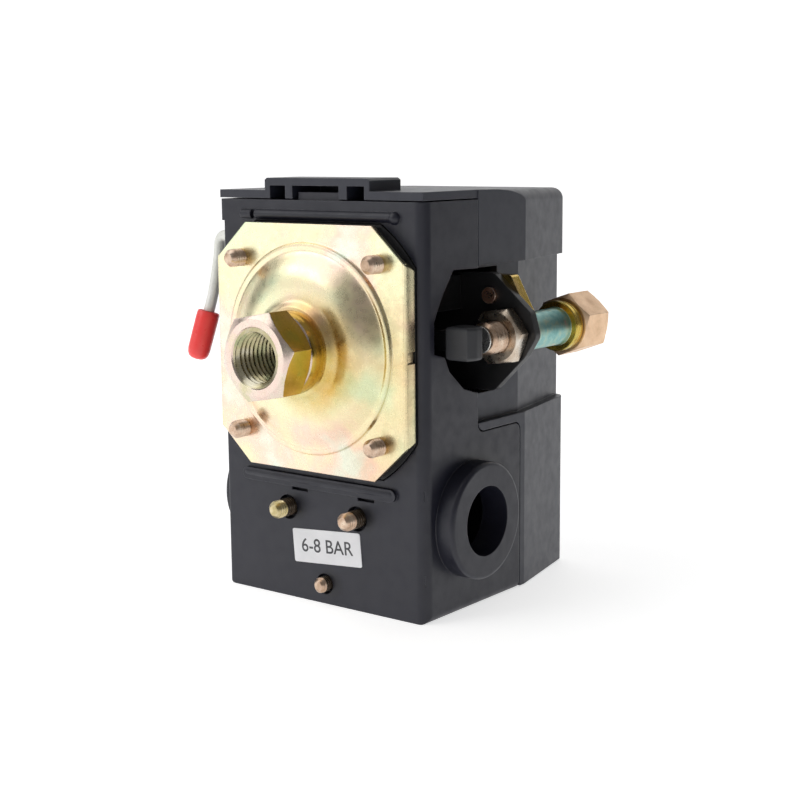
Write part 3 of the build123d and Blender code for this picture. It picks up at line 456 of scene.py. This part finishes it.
def mesh_piece(name, vertices, faces, finish, body, sharp=28):
    """Closed mesh that rides a body; edges over sharp degrees stay crisp."""
    mesh = bpy.data.meshes.new(name)
    mesh.from_pydata(vertices, [], faces)
    mesh.validate()
    piece = bpy.data.objects.new(name, mesh)
    bpy.context.scene.collection.objects.link(piece)
    bpy.ops.object.select_all(action="DESELECT")
    bpy.context.view_layer.objects.active = piece
    piece.select_set(True)
    bpy.ops.object.mode_set(mode="EDIT")
    bpy.ops.mesh.select_all(action="SELECT")
    bpy.ops.mesh.normals_make_consistent(inside=False)
    bpy.ops.object.mode_set(mode="OBJECT")
    smooth_by_angle(mesh, sharp)
    mesh.materials.append(finish)
    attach(piece, body)
    return piece


def between(start, stop, count):
    """Evenly spaced values from start to stop, both included."""
    return [start + (stop - start) * index / count for index in range(count + 1)]


CHAMFER_ANGLE = math.radians(30)


def chamfered_hex_rows(flats, turn, start, end, share_in=0.97, steps=6):
    """Rings of a hexagon whose corners are cut by a chamfer at both ends; share_in is the
    radius of each end's flat as a share of half the flats."""
    corner = flats / math.sqrt(3)
    inner = flats / 2 * share_in
    drop = (corner - inner) * math.tan(CHAMFER_ANGLE)
    chamfer = [(drop * step / steps,
                hexagon(flats, turn, inner + (corner - inner) * (step / steps)))
               for step in range(steps + 1)]
    return ([(start + depth, radius) for depth, radius in chamfer]
            + [(end - depth, radius) for depth, radius in chamfer[::-1]])


def hexagon_corners(turn):
    """Angles at which ring_angles has to put a hexagon's corners."""
    return [math.radians(turn + 60 * index) for index in range(6)]


# ---- port nut: chamfered hexagon, collar and a tapered pipe thread in its bore ----
PORT_FLATS = 19.0
PORT_TURN = 11.0
PORT_FACE_RADIUS = 8.7
PORT_MOUTH_RADIUS = 6.87
PORT_HEXAGON_END = 8.4
PORT_SPIGOT_RADIUS = 7.4
PORT_COLLAR_END = 12.6
PORT_RIM_RADIUS = 8.8
PORT_THREAD_PITCH = 1.411
PORT_THREAD_END = 12.5
PORT_THREAD_TAPER = 0.012
PORT_LEAD_IN = 1.2
port_bore = mounts["pressure_port"]["dims"]["r_mm"]
port_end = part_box("port_nut")[1].y / MM
rows = turned([(0.0, PORT_FACE_RADIUS), (0.0, PORT_MOUTH_RADIUS + 0.25),
               (0.35, PORT_MOUTH_RADIUS)])
for y in between(0.5, PORT_THREAD_END, 96):
    fade = min(1.0, y / PORT_LEAD_IN)
    root = PORT_MOUTH_RADIUS - PORT_THREAD_TAPER * y - 0.1 * (1 - fade)
    rows.append((y, thread(y, port_bore, root, PORT_THREAD_PITCH)))
rows += turned([(PORT_THREAD_END + 0.5, port_bore), (port_end, port_bore),
                (port_end, PORT_RIM_RADIUS), (15.9, PORT_RIM_RADIUS),
                (15.7, PORT_SPIGOT_RADIUS), (PORT_COLLAR_END, PORT_SPIGOT_RADIUS),
                (PORT_COLLAR_END, 9.6), (12.3, 9.7), (8.9, 9.4), (8.5, 9.2)])
rows += chamfered_hex_rows(PORT_FLATS, PORT_TURN, 0.0, PORT_HEXAGON_END,
                           share_in=0.92, steps=10)[::-1]
port_piece = ring_piece("threaded_port", rows, gold_zinc, "housing",
                        angles=ring_angles(144, hexagon_corners(PORT_TURN)))
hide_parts("port_nut")
# painted highlight and painted shade: faces turned to the front get a paler, lit copy of the
# plating, and the bore a darker, shaded one
port_piece.data.materials.append(lit_face_zinc)
port_piece.data.materials.append(shaded_bore_zinc)
for polygon in port_piece.data.polygons:
    away = math.hypot(polygon.center.x, polygon.center.z) / MM
    if away < PORT_MOUTH_RADIUS - 0.05:
        polygon.material_index = 2
    elif polygon.normal.y < -0.3:
        polygon.material_index = 1

# ---- flange: octagonal plate pressed into a dome, with its side edges bent back ----
FLANGE_LIP_DEPTH = 3.3
FLANGE_THICKNESS = 1.3
CORNER_X = 19.2
CORNER_Z = 20.2
BEND = 0.8
flange_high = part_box("flange")[1]
half_x = flange_high.x / MM
half_z = flange_high.z / MM
lip_end = flange_high.y / MM
front = lip_end - FLANGE_LIP_DEPTH
rear = front + FLANGE_THICKNESS
cut_slope = (half_z - CORNER_Z) / (half_x - CORNER_X)
plate_x = half_x - BEND
plate_z = CORNER_Z + cut_slope * BEND
outline = [(plate_x, plate_z), (CORNER_X, half_z), (-CORNER_X, half_z), (-plate_x, plate_z),
           (-plate_x, -plate_z), (-CORNER_X, -half_z), (CORNER_X, -half_z),
           (plate_x, -plate_z)]


def octagon(inset):
    """Radius of the flange's outline at an angle, moved inwards by inset."""
    def radius(angle):
        direction = Vector((math.cos(angle), math.sin(angle)))
        best = UNLIMITED
        for index, start in enumerate(outline):
            end = outline[(index + 1) % len(outline)]
            edge = Vector((end[0] - start[0], end[1] - start[1])).normalized()
            normal = Vector((edge.y, -edge.x))
            if normal.dot(Vector(start)) < 0:
                normal = -normal
            facing = normal.dot(direction)
            if facing > 1e-6:
                best = min(best, (normal.dot(Vector(start)) - inset) / facing)
        return best
    return radius


# the dome as (depth, radius): collar seat, crown, slope, and the bead round its foot
dome = [(15.6, 7.45), (12.6, 7.45), (12.6, 10.2), (12.75, 10.6), (13.2, 11.0),
        (13.75, 11.8), (13.92, 13.0), (13.98, 14.5), (14.2, 16.0), (14.62, 17.5),
        (15.25, 19.0), (16.0, 20.4), (16.75, 21.6), (17.25, 22.4), (17.45, 22.9),
        (17.5, 23.2), (17.4, 23.5), (17.38, 24.1), (17.5, 24.5), (17.75, 24.7),
        (18.0, 24.75), (front, 24.95)]
rows = turned(dome)
rows += [(front, octagon(0.13)), (front + 0.13, octagon(0.0)),
         (rear - 0.2, octagon(0.0)), (rear, octagon(0.15))]
rows += turned([(rear, 22.3), (16.8, 17.4), (15.9, 12.4)])
corners = [math.atan2(z, x) for x, z in outline]
flange_piece = ring_piece("domed_flange", rows, yellow_zinc, "housing",
                          angles=ring_angles(320, corners))
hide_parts("flange")


LIP_SLANT = 0.52
NICK_DEPTH = 0.55
NICK_REACH = 1.15


def bent_lip(side):
    """Side edge of the plate bent back round a small radius, its ends cut on a slant and
    a nick at its middle."""
    section = [(plate_x - 0.02, front + 0.002)]
    bend_steps = 5
    for step in range(1, bend_steps + 1):
        angle = math.pi / 2 * step / bend_steps
        section.append((plate_x + BEND * math.sin(angle),
                        front + BEND * (1 - math.cos(angle))))
    section += [(half_x, lip_end - 0.2), (half_x - 0.15, lip_end), (half_x - 1.1, lip_end),
                (half_x - 1.25, lip_end - 0.15), (half_x - 1.25, rear + 0.3),
                (half_x - 1.4, rear + 0.02), (plate_x - 0.9, rear - 0.1),
                (plate_x - 0.9, front + 0.3)]
    vertices, faces = [], []
    for x, y in section:
        reach = CORNER_Z + cut_slope * (half_x - x)
        reach -= max(0.0, y - rear) * LIP_SLANT
        nick = NICK_DEPTH if x > half_x - 0.4 and y > front + 0.6 else 0.0
        stations = ((-reach, 0), (-NICK_REACH - 0.2, 0), (-NICK_REACH, nick),
                    (NICK_REACH, nick), (NICK_REACH + 0.2, 0), (reach, 0))
        for z, depth in stations:
            vertices.append((side * (x - depth) * MM, y * MM, z * MM))
    columns = 6
    for index in range(len(section)):
        after = (index + 1) % len(section)
        for column in range(columns - 1):
            faces.append((index * columns + column, index * columns + column + 1,
                          after * columns + column + 1, after * columns + column))
    faces.append(tuple(index * columns for index in range(len(section))))
    faces.append(tuple(index * columns + columns - 1 for index in range(len(section))))
    name = "flange_lip_right" if side > 0 else "flange_lip_left"
    piece = mesh_piece(name, vertices, faces, yellow_zinc, "housing", 35)
    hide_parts("flange")


bent_lip(-1)
bent_lip(1)


# ---- screws whose threaded points stand out of the front ----
THREAD_DEPTH_SHARE = 0.80
RINGS_PER_PITCH = 7


def threaded_screw(name, centre, tip, head, head_radius, radius, pitch, head_top, finish):
    """Screw with a blunt tip, a threaded shank from tip to head, and a round head."""
    rows = turned([(tip, radius * 0.45), (tip + 0.05, radius * 0.58),
                   (tip + radius * 0.35, radius * 0.86)])
    start = tip + radius * 0.42
    steps = max(8, int((head - start) / pitch * RINGS_PER_PITCH))
    for y in between(start, head - 0.1, steps):
        rows.append((y, thread(y, radius, radius * THREAD_DEPTH_SHARE, pitch)))
    rows += turned([(head, radius), (head, head_radius * 0.96),
                    (head + 0.15, head_radius), (head_top - 0.6, head_radius),
                    (head_top - 0.1, head_radius * 0.8), (head_top, head_radius * 0.6)])
    return ring_piece(name, rows, finish, "housing", centre, closed=False, count=40)


# painted shade on the screw shanks reaches no deeper than this
SHADE_END = 26.0


def screw_set(node, name, centres, radius, head_radius, pitch, heads, tips,
              finishes=None, shade_depth=None):
    """Screws at centres, as deep as the node's box; past the given depth behind the front each
    shank is painted dark as the shade of its hole."""
    low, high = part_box(node)
    top = high.y / MM
    for index, (centre, tip, head) in enumerate(zip(centres, tips, heads)):
        finish = finishes[index] if finishes else copper_zinc
        piece = threaded_screw(f"{name}_{index + 1}", centre, tip, head, head_radius, radius,
                               pitch, top, finish)
        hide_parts(node)
        # the part of the shank down in its hole is painted dark as shade
        if shade_depth:
            piece.data.materials.append(shaded_shank_zinc)
            for polygon in piece.data.polygons:
                if low.y / MM + shade_depth < polygon.center.y / MM < SHADE_END:
                    polygon.material_index = 1


FLANGE_SCREW_HEAD_RADIUS = 3.3
low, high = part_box("flange_screws")
reach = high.x / MM - FLANGE_SCREW_HEAD_RADIUS
rise = high.z / MM - FLANGE_SCREW_HEAD_RADIUS
places = [(-reach, -rise), (reach, -rise), (-reach, rise), (reach, rise)]
screw_set("flange_screws", "flange_screw", places, radius=2.15,
          head_radius=FLANGE_SCREW_HEAD_RADIUS, pitch=0.8,
          heads=[high.y / MM - 2.4] * 4, tips=[low.y / MM] * 4)

BLOCK_SCREW_HEAD_RADIUS = 3.6
low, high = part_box("block_screws")
reach = high.x / MM - BLOCK_SCREW_HEAD_RADIUS
middle = (high.z + low.z) / 2 / MM
screw_set("block_screws", "block_screw", [(-reach, middle), (reach, middle)], radius=2.2,
          head_radius=BLOCK_SCREW_HEAD_RADIUS, pitch=0.8,
          heads=[high.y / MM - 2.6] * 2, tips=[low.y / MM] * 2,
          finishes=[screw_zinc, copper_zinc], shade_depth=2.9)

# only the left one of these comes out of the front
GROUND_SCREW_X = (0.6, 7.0)
GROUND_SCREW_RADIUS = 1.9
GROUND_SCREW_HEAD = 28.0
HIDDEN_SCREW_TIP = 24.6
low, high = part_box("ground_screws")
middle = (high.z + low.z) / 2 / MM
screw_set("ground_screws", "ground_screw", [(x, middle) for x in GROUND_SCREW_X],
          radius=GROUND_SCREW_RADIUS, head_radius=GROUND_SCREW_RADIUS, pitch=0.7,
          heads=[GROUND_SCREW_HEAD] * 2, tips=[low.y / MM, HIDDEN_SCREW_TIP], shade_depth=1.6)


# ---- unloader valve: barrel with a threaded nose, a shoulder and a spring room inside ----
NOSE_CREST = 3.8
NOSE_ROOT = 3.35
NOSE_PITCH = 1.0
NOSE_END = 50.5
BARREL_RADIUS = 4.5
SHOULDER_START = 67.3
SHOULDER_RADIUS = 6.1
TAIL_RADIUS = 5.15
PIN_BORE_RADIUS = 1.95
TUBE_BORE_RADIUS = 3.3
TUBE_BORE_START = 66.5
SPRING_ROOM_RADIUS = 3.3
SPRING_ROOM_START = 53.0
SPRING_ROOM_END = 62.0
valve_low, valve_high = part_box("valve_body")
valve = ((valve_low.x + valve_high.x) / 2 / MM, (valve_low.z + valve_high.z) / 2 / MM)
nose = valve_low.y / MM
tail = valve_high.y / MM
rows = turned([(nose, PIN_BORE_RADIUS), (nose, 2.9), (nose + 0.5, 3.45)])
for y in between(nose + 0.6, NOSE_END - 0.1, 100):
    rows.append((y, thread(y, NOSE_CREST, NOSE_ROOT, NOSE_PITCH)))
rows += turned([(NOSE_END, NOSE_CREST), (NOSE_END, BARREL_RADIUS - 0.2),
                (NOSE_END + 0.3, BARREL_RADIUS), (66.6, BARREL_RADIUS), (67.1, 4.75),
                (SHOULDER_START, SHOULDER_RADIUS - 0.2),
                (SHOULDER_START + 0.2, SHOULDER_RADIUS), (68.6, SHOULDER_RADIUS),
                (68.75, SHOULDER_RADIUS - 0.25), (68.9, SHOULDER_RADIUS),
                (70.2, SHOULDER_RADIUS), (70.3, TAIL_RADIUS), (tail, TAIL_RADIUS),
                (tail, TUBE_BORE_RADIUS), (TUBE_BORE_START, TUBE_BORE_RADIUS),
                (TUBE_BORE_START, PIN_BORE_RADIUS), (SPRING_ROOM_END, PIN_BORE_RADIUS),
                (SPRING_ROOM_END, SPRING_ROOM_RADIUS),
                (SPRING_ROOM_START, SPRING_ROOM_RADIUS),
                (SPRING_ROOM_START, PIN_BORE_RADIUS)])
valve_piece = ring_piece("unloader_barrel", rows, blue_zinc, "housing", valve, count=72)
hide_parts("valve_body")
# the shoulder is plated yellow and the threaded nose has the screws' tint
valve_piece.data.materials.append(gold_zinc)
valve_piece.data.materials.append(copper_zinc)
for polygon in valve_piece.data.polygons:
    depth = polygon.center.y / MM
    if depth > SHOULDER_START - 0.4:
        polygon.material_index = 1
    elif depth < NOSE_END - 0.05:
        polygon.material_index = 2

# ---- lock nut ----
LOCK_NUT_FLATS = 12.2
LOCK_NUT_TURN = 8.0
LOCK_NUT_BORE = 3.85
low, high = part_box("lock_nut")
start, end = low.y / MM, high.y / MM
rows = turned([(start, LOCK_NUT_BORE), (start, LOCK_NUT_BORE + 0.25)])
rows += chamfered_hex_rows(LOCK_NUT_FLATS, LOCK_NUT_TURN, start, end, share_in=0.93)
rows += turned([(end, LOCK_NUT_BORE)])
lock_piece = ring_piece("steel_lock_nut", rows, nickel_zinc, "housing", valve,
                        angles=ring_angles(96, hexagon_corners(LOCK_NUT_TURN)))
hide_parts("lock_nut")

# ---- compression nut ----
NUT_FLATS = 13.6
NUT_TURN = 20.0
NUT_ROOM_RADIUS = 5.3
NUT_ROOM_END = 76.5
NUT_BORE = 3.25
low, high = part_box("compression_nut")
start, end = low.y / MM, high.y / MM
rows = turned([(start, NUT_ROOM_RADIUS)])
rows += chamfered_hex_rows(NUT_FLATS, NUT_TURN, start, end)
rows += turned([(end, 4.4), (end - 0.5, 3.6), (end - 0.6, NUT_BORE),
                (NUT_ROOM_END, NUT_BORE), (NUT_ROOM_END, NUT_ROOM_RADIUS)])
nut_piece = ring_piece("brass_compression_nut", rows, brass, "compression_nut", valve,
                       angles=ring_angles(96, hexagon_corners(NUT_TURN)))
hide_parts("compression_nut")


# ---- round bars along a path: rib, springs, lever wire and its sleeve ----
def tube_piece(name, points, radii, finish, body, sides=28):
    """Round tube through points (mm) with a radius at each, closed at both ends."""
    vertices, faces = [], []
    previous = None
    for index, point in enumerate(points):
        ahead = Vector(points[min(index + 1, len(points) - 1)])
        behind = Vector(points[max(index - 1, 0)])
        tangent = (ahead - behind).normalized()
        if previous is None:
            side = tangent.orthogonal().normalized()
        else:
            side = (previous - tangent * previous.dot(tangent)).normalized()
        previous = side
        other = tangent.cross(side)
        for step in range(sides):
            angle = TAU * step / sides
            offset = side * math.cos(angle) + other * math.sin(angle)
            vertices.append((Vector(point) + offset * radii[index]) * MM)
    for index in range(len(points) - 1):
        for step in range(sides):
            after = (step + 1) % sides
            faces.append((index * sides + step, index * sides + after,
                          (index + 1) * sides + after, (index + 1) * sides + step))
    faces.append(tuple(range(sides)))
    faces.append(tuple((len(points) - 1) * sides + step for step in range(sides))[::-1])
    return mesh_piece(name, vertices, faces, finish, body, 40)


def bezier(points, steps):
    """Points along a Bezier curve of any degree."""
    result = []
    for step in range(steps + 1):
        share = step / steps
        level = [Vector(point) for point in points]
        while len(level) > 1:
            level = [a.lerp(b, share) for a, b in zip(level, level[1:])]
        result.append(level[0])
    return result


# ---- half-round rib under the flange, rounded at its ends ----
RIB_Y = 22.25
RIB_Z = -32.3
RIB_RADIUS = 1.35
# each station along the rib is (x, radius)
rib = [(-24.6, 0.3), (-24.4, 0.75), (-24.0, 1.1), (-23.3, RIB_RADIUS), (-12.0, RIB_RADIUS),
       (0.0, RIB_RADIUS), (11.0, RIB_RADIUS), (21.4, RIB_RADIUS), (22.1, 1.1), (22.5, 0.75),
       (22.7, 0.3)]
rib_piece = tube_piece("lower_rib", [Vector((x, RIB_Y, RIB_Z)) for x, _ in rib],
                       [radius for _, radius in rib], base_plastic, "housing")

# ---- springs ----
STEPS_PER_TURN = 24


def coil_spring(node, turns, wire):
    """Coil along Y with closed ends."""
    low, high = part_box(node)
    x = (low.x + high.x) / 2 / MM
    z = (low.z + high.z) / 2 / MM
    radius = (high.x - low.x) / 2 / MM - wire
    first = low.y / MM + wire
    last = high.y / MM - wire
    count = turns * STEPS_PER_TURN
    points = []
    for index in range(count + 1):
        share = index / count
        angle = TAU * turns * share
        rise = min(1.0, max(0.0, (share - 0.5 / turns) / (1 - 1.0 / turns)))
        points.append(Vector((x + radius * math.cos(angle), first + (last - first) * rise,
                              z + radius * math.sin(angle))))
    piece = tube_piece(node + "_coil", points, [wire] * len(points), spring_steel, "housing", 12)
    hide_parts(node)
    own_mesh(piece)


coil_spring("range_spring", turns=7, wire=0.95)
coil_spring("differential_spring", turns=9, wire=0.5)
coil_spring("valve_spring", turns=6, wire=0.3)

# ---- lever: the wire comes out of the wall, bends down and leans out to the sleeve ----
LEVER_Y = 28.1
LEVER_Z = 24.9
LEVER_RADIUS = 1.4
ELBOW_END = (-37.1, LEVER_Y - 0.2, LEVER_Z - 2.2)
wire = [Vector((x, LEVER_Y, LEVER_Z)) for x in (-24.6, -25.0, -31.0)]
wire += bezier([(-35.0, LEVER_Y, LEVER_Z), (-37.0, LEVER_Y, LEVER_Z), ELBOW_END], 12)
wire += bezier([ELBOW_END, (-37.3, 27.2, 16.0), (-37.9, 25.8, 9.5), (-38.5, 24.7, 5.8)],
               20)[1:]
wire.append(Vector((-39.8, 22.9, -1.8)))
radii = [LEVER_RADIUS * 0.85] + [LEVER_RADIUS] * (len(wire) - 1)
wire_piece = tube_piece("off_lever_wire", wire, radii, lever_zinc, "lever")
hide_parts("lever_wire")

SLEEVE_START = Vector((-38.45, 24.8, 6.1))
SLEEVE_AXIS = Vector((-1.7, -2.35, -10.0)).normalized()
# each station along the sleeve is (distance, radius); it starts inside the open mouth
sleeve = [(0.9, 1.42), (0.15, 1.6), (0.0, 2.1), (0.12, 2.6), (0.5, 2.8), (2.0, 2.85),
          (6.0, 2.83), (9.8, 2.8), (11.0, 2.6), (11.8, 2.15), (12.25, 1.4), (12.4, 0.6)]
sleeve_piece = tube_piece("red_lever_sleeve",
                          [SLEEVE_START + SLEEVE_AXIS * along for along, _ in sleeve],
                          [radius for _, radius in sleeve], red_vinyl, "lever", 40)
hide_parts("lever_sleeve")

# ---- printed range on the label ----
PRINT_SIZE = 4.7
PRINT_BOLDNESS = 0.03
PRINT_HEIGHT = 0.01
LABEL_TILT = -4.6
label_low, label_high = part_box("label")
text = bpy.data.curves.new("label_numbers", "FONT")
text.body = "6-8 BAR"
text.size = PRINT_SIZE * MM
text.offset = PRINT_BOLDNESS * MM
text.align_x = "CENTER"
text.align_y = "CENTER"
text.extrude = PRINT_HEIGHT * MM
text_object = bpy.data.objects.new("label_numbers_curve", text)
bpy.context.scene.collection.objects.link(text_object)
bpy.context.view_layer.update()
text_mesh = bpy.data.meshes.new_from_object(text_object)
bpy.data.objects.remove(text_object)
tilt = Matrix.Rotation(math.radians(LABEL_TILT), 4, "Y")
upright = Matrix.Rotation(math.radians(90), 4, "X")
centre = Matrix.Translation(((label_low.x + label_high.x) / 2,
                             label_low.y - PRINT_HEIGHT * MM,
                             (label_low.z + label_high.z) / 2))
text_mesh.transform(centre @ tilt @ upright)
text_mesh.materials.clear()
text_mesh.materials.append(ink)
numbers = bpy.data.objects.new("label_numbers", text_mesh)
bpy.context.scene.collection.objects.link(numbers)
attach(numbers, "housing")

# --------------------------------------------------------------------------------------
# Stage, lights and camera, in metres
# --------------------------------------------------------------------------------------

FLOOR_REACH = 3.0
WALL_START = 1.2
WALL_RADIUS = 0.8
WALL_STEPS = 12
BACKDROP_TURN = 38
BACKDROP_GLOW = 0.66


def backdrop(floor_z):
    """White floor that curves up into a wall behind the object."""
    profile = [(-FLOOR_REACH, 0.0), (WALL_START, 0.0)]
    for step in range(1, WALL_STEPS + 1):
        angle = math.pi / 2 * step / WALL_STEPS
        profile.append((WALL_START + WALL_RADIUS * math.sin(angle),
                        WALL_RADIUS * (1 - math.cos(angle))))
    profile.append((WALL_START + WALL_RADIUS, FLOOR_REACH))
    vertices, faces = [], []
    for y, z in profile:
        for x in (-FLOOR_REACH, FLOOR_REACH):
            vertices.append((x, y, z + floor_z))
    for index in range(len(profile) - 1):
        a = index * 2
        faces.append((a, a + 1, a + 3, a + 2))
    mesh = bpy.data.meshes.new("studio_floor")
    mesh.from_pydata(vertices, [], faces)
    mesh.shade_smooth()
    floor = bpy.data.objects.new("studio_floor", mesh)
    mesh.transform(Matrix.Rotation(math.radians(BACKDROP_TURN), 4, "Z"))
    bpy.context.scene.collection.objects.link(floor)
    shader = Shader("studio_white", roughness=0.7)
    shader.colour(shader.ramp(shader.noise(2.0), ((0.3, (0.86, 0.86, 0.86)),
                                                  (0.7, (0.88, 0.88, 0.88)))))
    shader.bsdf.inputs["Emission Color"].default_value = (*WHITE, 1.0)
    shader.bsdf.inputs["Emission Strength"].default_value = BACKDROP_GLOW
    mesh.materials.append(shader.material)


def soft_light(name, place, target, size, power):
    """White rectangular light that faces its target."""
    lamp = bpy.data.lights.new(name, "AREA")
    lamp.shape = "RECTANGLE"
    lamp.size, lamp.size_y = size
    lamp.energy = power
    lamp.color = WHITE
    holder = bpy.data.objects.new(name, lamp)
    holder.location = place
    direction = Vector(target) - Vector(place)
    holder.rotation_euler = direction.to_track_quat("-Z", "Y").to_euler()
    bpy.context.scene.collection.objects.link(holder)


def dark_card(name, place, target, size):
    """Black panel outside the picture whose reflection darkens the metal and the side."""
    width, height = size
    face = (Vector(target) - Vector(place)).normalized()
    across = face.cross(Vector((0, 0, 1))).normalized() * width / 2
    rise = across.cross(face).normalized() * height / 2
    corners = [Vector(place) + across * a + rise * b
               for a, b in ((-1, -1), (1, -1), (1, 1), (-1, 1))]
    mesh = bpy.data.meshes.new(name)
    mesh.from_pydata([tuple(corner) for corner in corners], [], [(0, 1, 2, 3)])
    card = bpy.data.objects.new(name, mesh)
    bpy.context.scene.collection.objects.link(card)
    shader = Shader(name, roughness=0.9, Specular_IOR_Level=0.0)
    shader.colour(shader.ramp(shader.noise(2.0), ((0.3, (0.010, 0.010, 0.010)),
                                                  (0.7, (0.020, 0.020, 0.020)))))
    mesh.materials.append(shader.material)
    card.visible_camera = False


WORLD_STRENGTH = 0.22
backdrop(cad_low[2])
soft_light("key", (-0.60, -0.70, 0.22), (0, 0.03, -0.01), (0.7, 0.8), 1.4)
soft_light("top", (-0.42, -0.38, 0.68), (0, 0.04, 0), (0.8, 0.8), 2.6)
dark_card("card_right", (0.42, 0.22, 0.06), (0.03, 0.05, 0), (0.34, 0.60))
dark_card("card_low_right", (0.34, -0.05, -0.02), (0.03, 0.03, 0), (0.10, 0.30))

world = bpy.data.worlds.new("studio")
world.use_nodes = True
world.node_tree.nodes["Background"].inputs["Color"].default_value = (*WHITE, 1.0)
world.node_tree.nodes["Background"].inputs["Strength"].default_value = WORLD_STRENGTH
bpy.context.scene.world = world
bpy.context.scene.view_settings.view_transform = "Standard"

CAMERA_PLACE = Vector((0.23311, -0.24723, 0.04685))
CAMERA_AZIMUTH = math.radians(37.85)
CAMERA_ELEVATION = math.radians(9.484)
CAMERA_ROLL = math.radians(-0.508)
CAMERA_LENS = 68.97
CAMERA_SENSOR = 36.0
back = Vector((math.sin(CAMERA_AZIMUTH) * math.cos(CAMERA_ELEVATION),
               -math.cos(CAMERA_AZIMUTH) * math.cos(CAMERA_ELEVATION),
               math.sin(CAMERA_ELEVATION)))
right = Vector((math.cos(CAMERA_AZIMUTH), math.sin(CAMERA_AZIMUTH), 0.0))
up = back.cross(right)
across = right * math.cos(CAMERA_ROLL) + up * math.sin(CAMERA_ROLL)
top = -right * math.sin(CAMERA_ROLL) + up * math.cos(CAMERA_ROLL)
camera = bpy.data.cameras.new("camera")
camera.lens = CAMERA_LENS
camera.sensor_width = CAMERA_SENSOR
camera_object = bpy.data.objects.new("camera", camera)
camera_object.matrix_world = Matrix(((across.x, top.x, back.x, CAMERA_PLACE.x),
                                     (across.y, top.y, back.y, CAMERA_PLACE.y),
                                     (across.z, top.z, back.z, CAMERA_PLACE.z),
                                     (0, 0, 0, 1)))
bpy.context.scene.collection.objects.link(camera_object)
bpy.context.scene.camera = camera_object
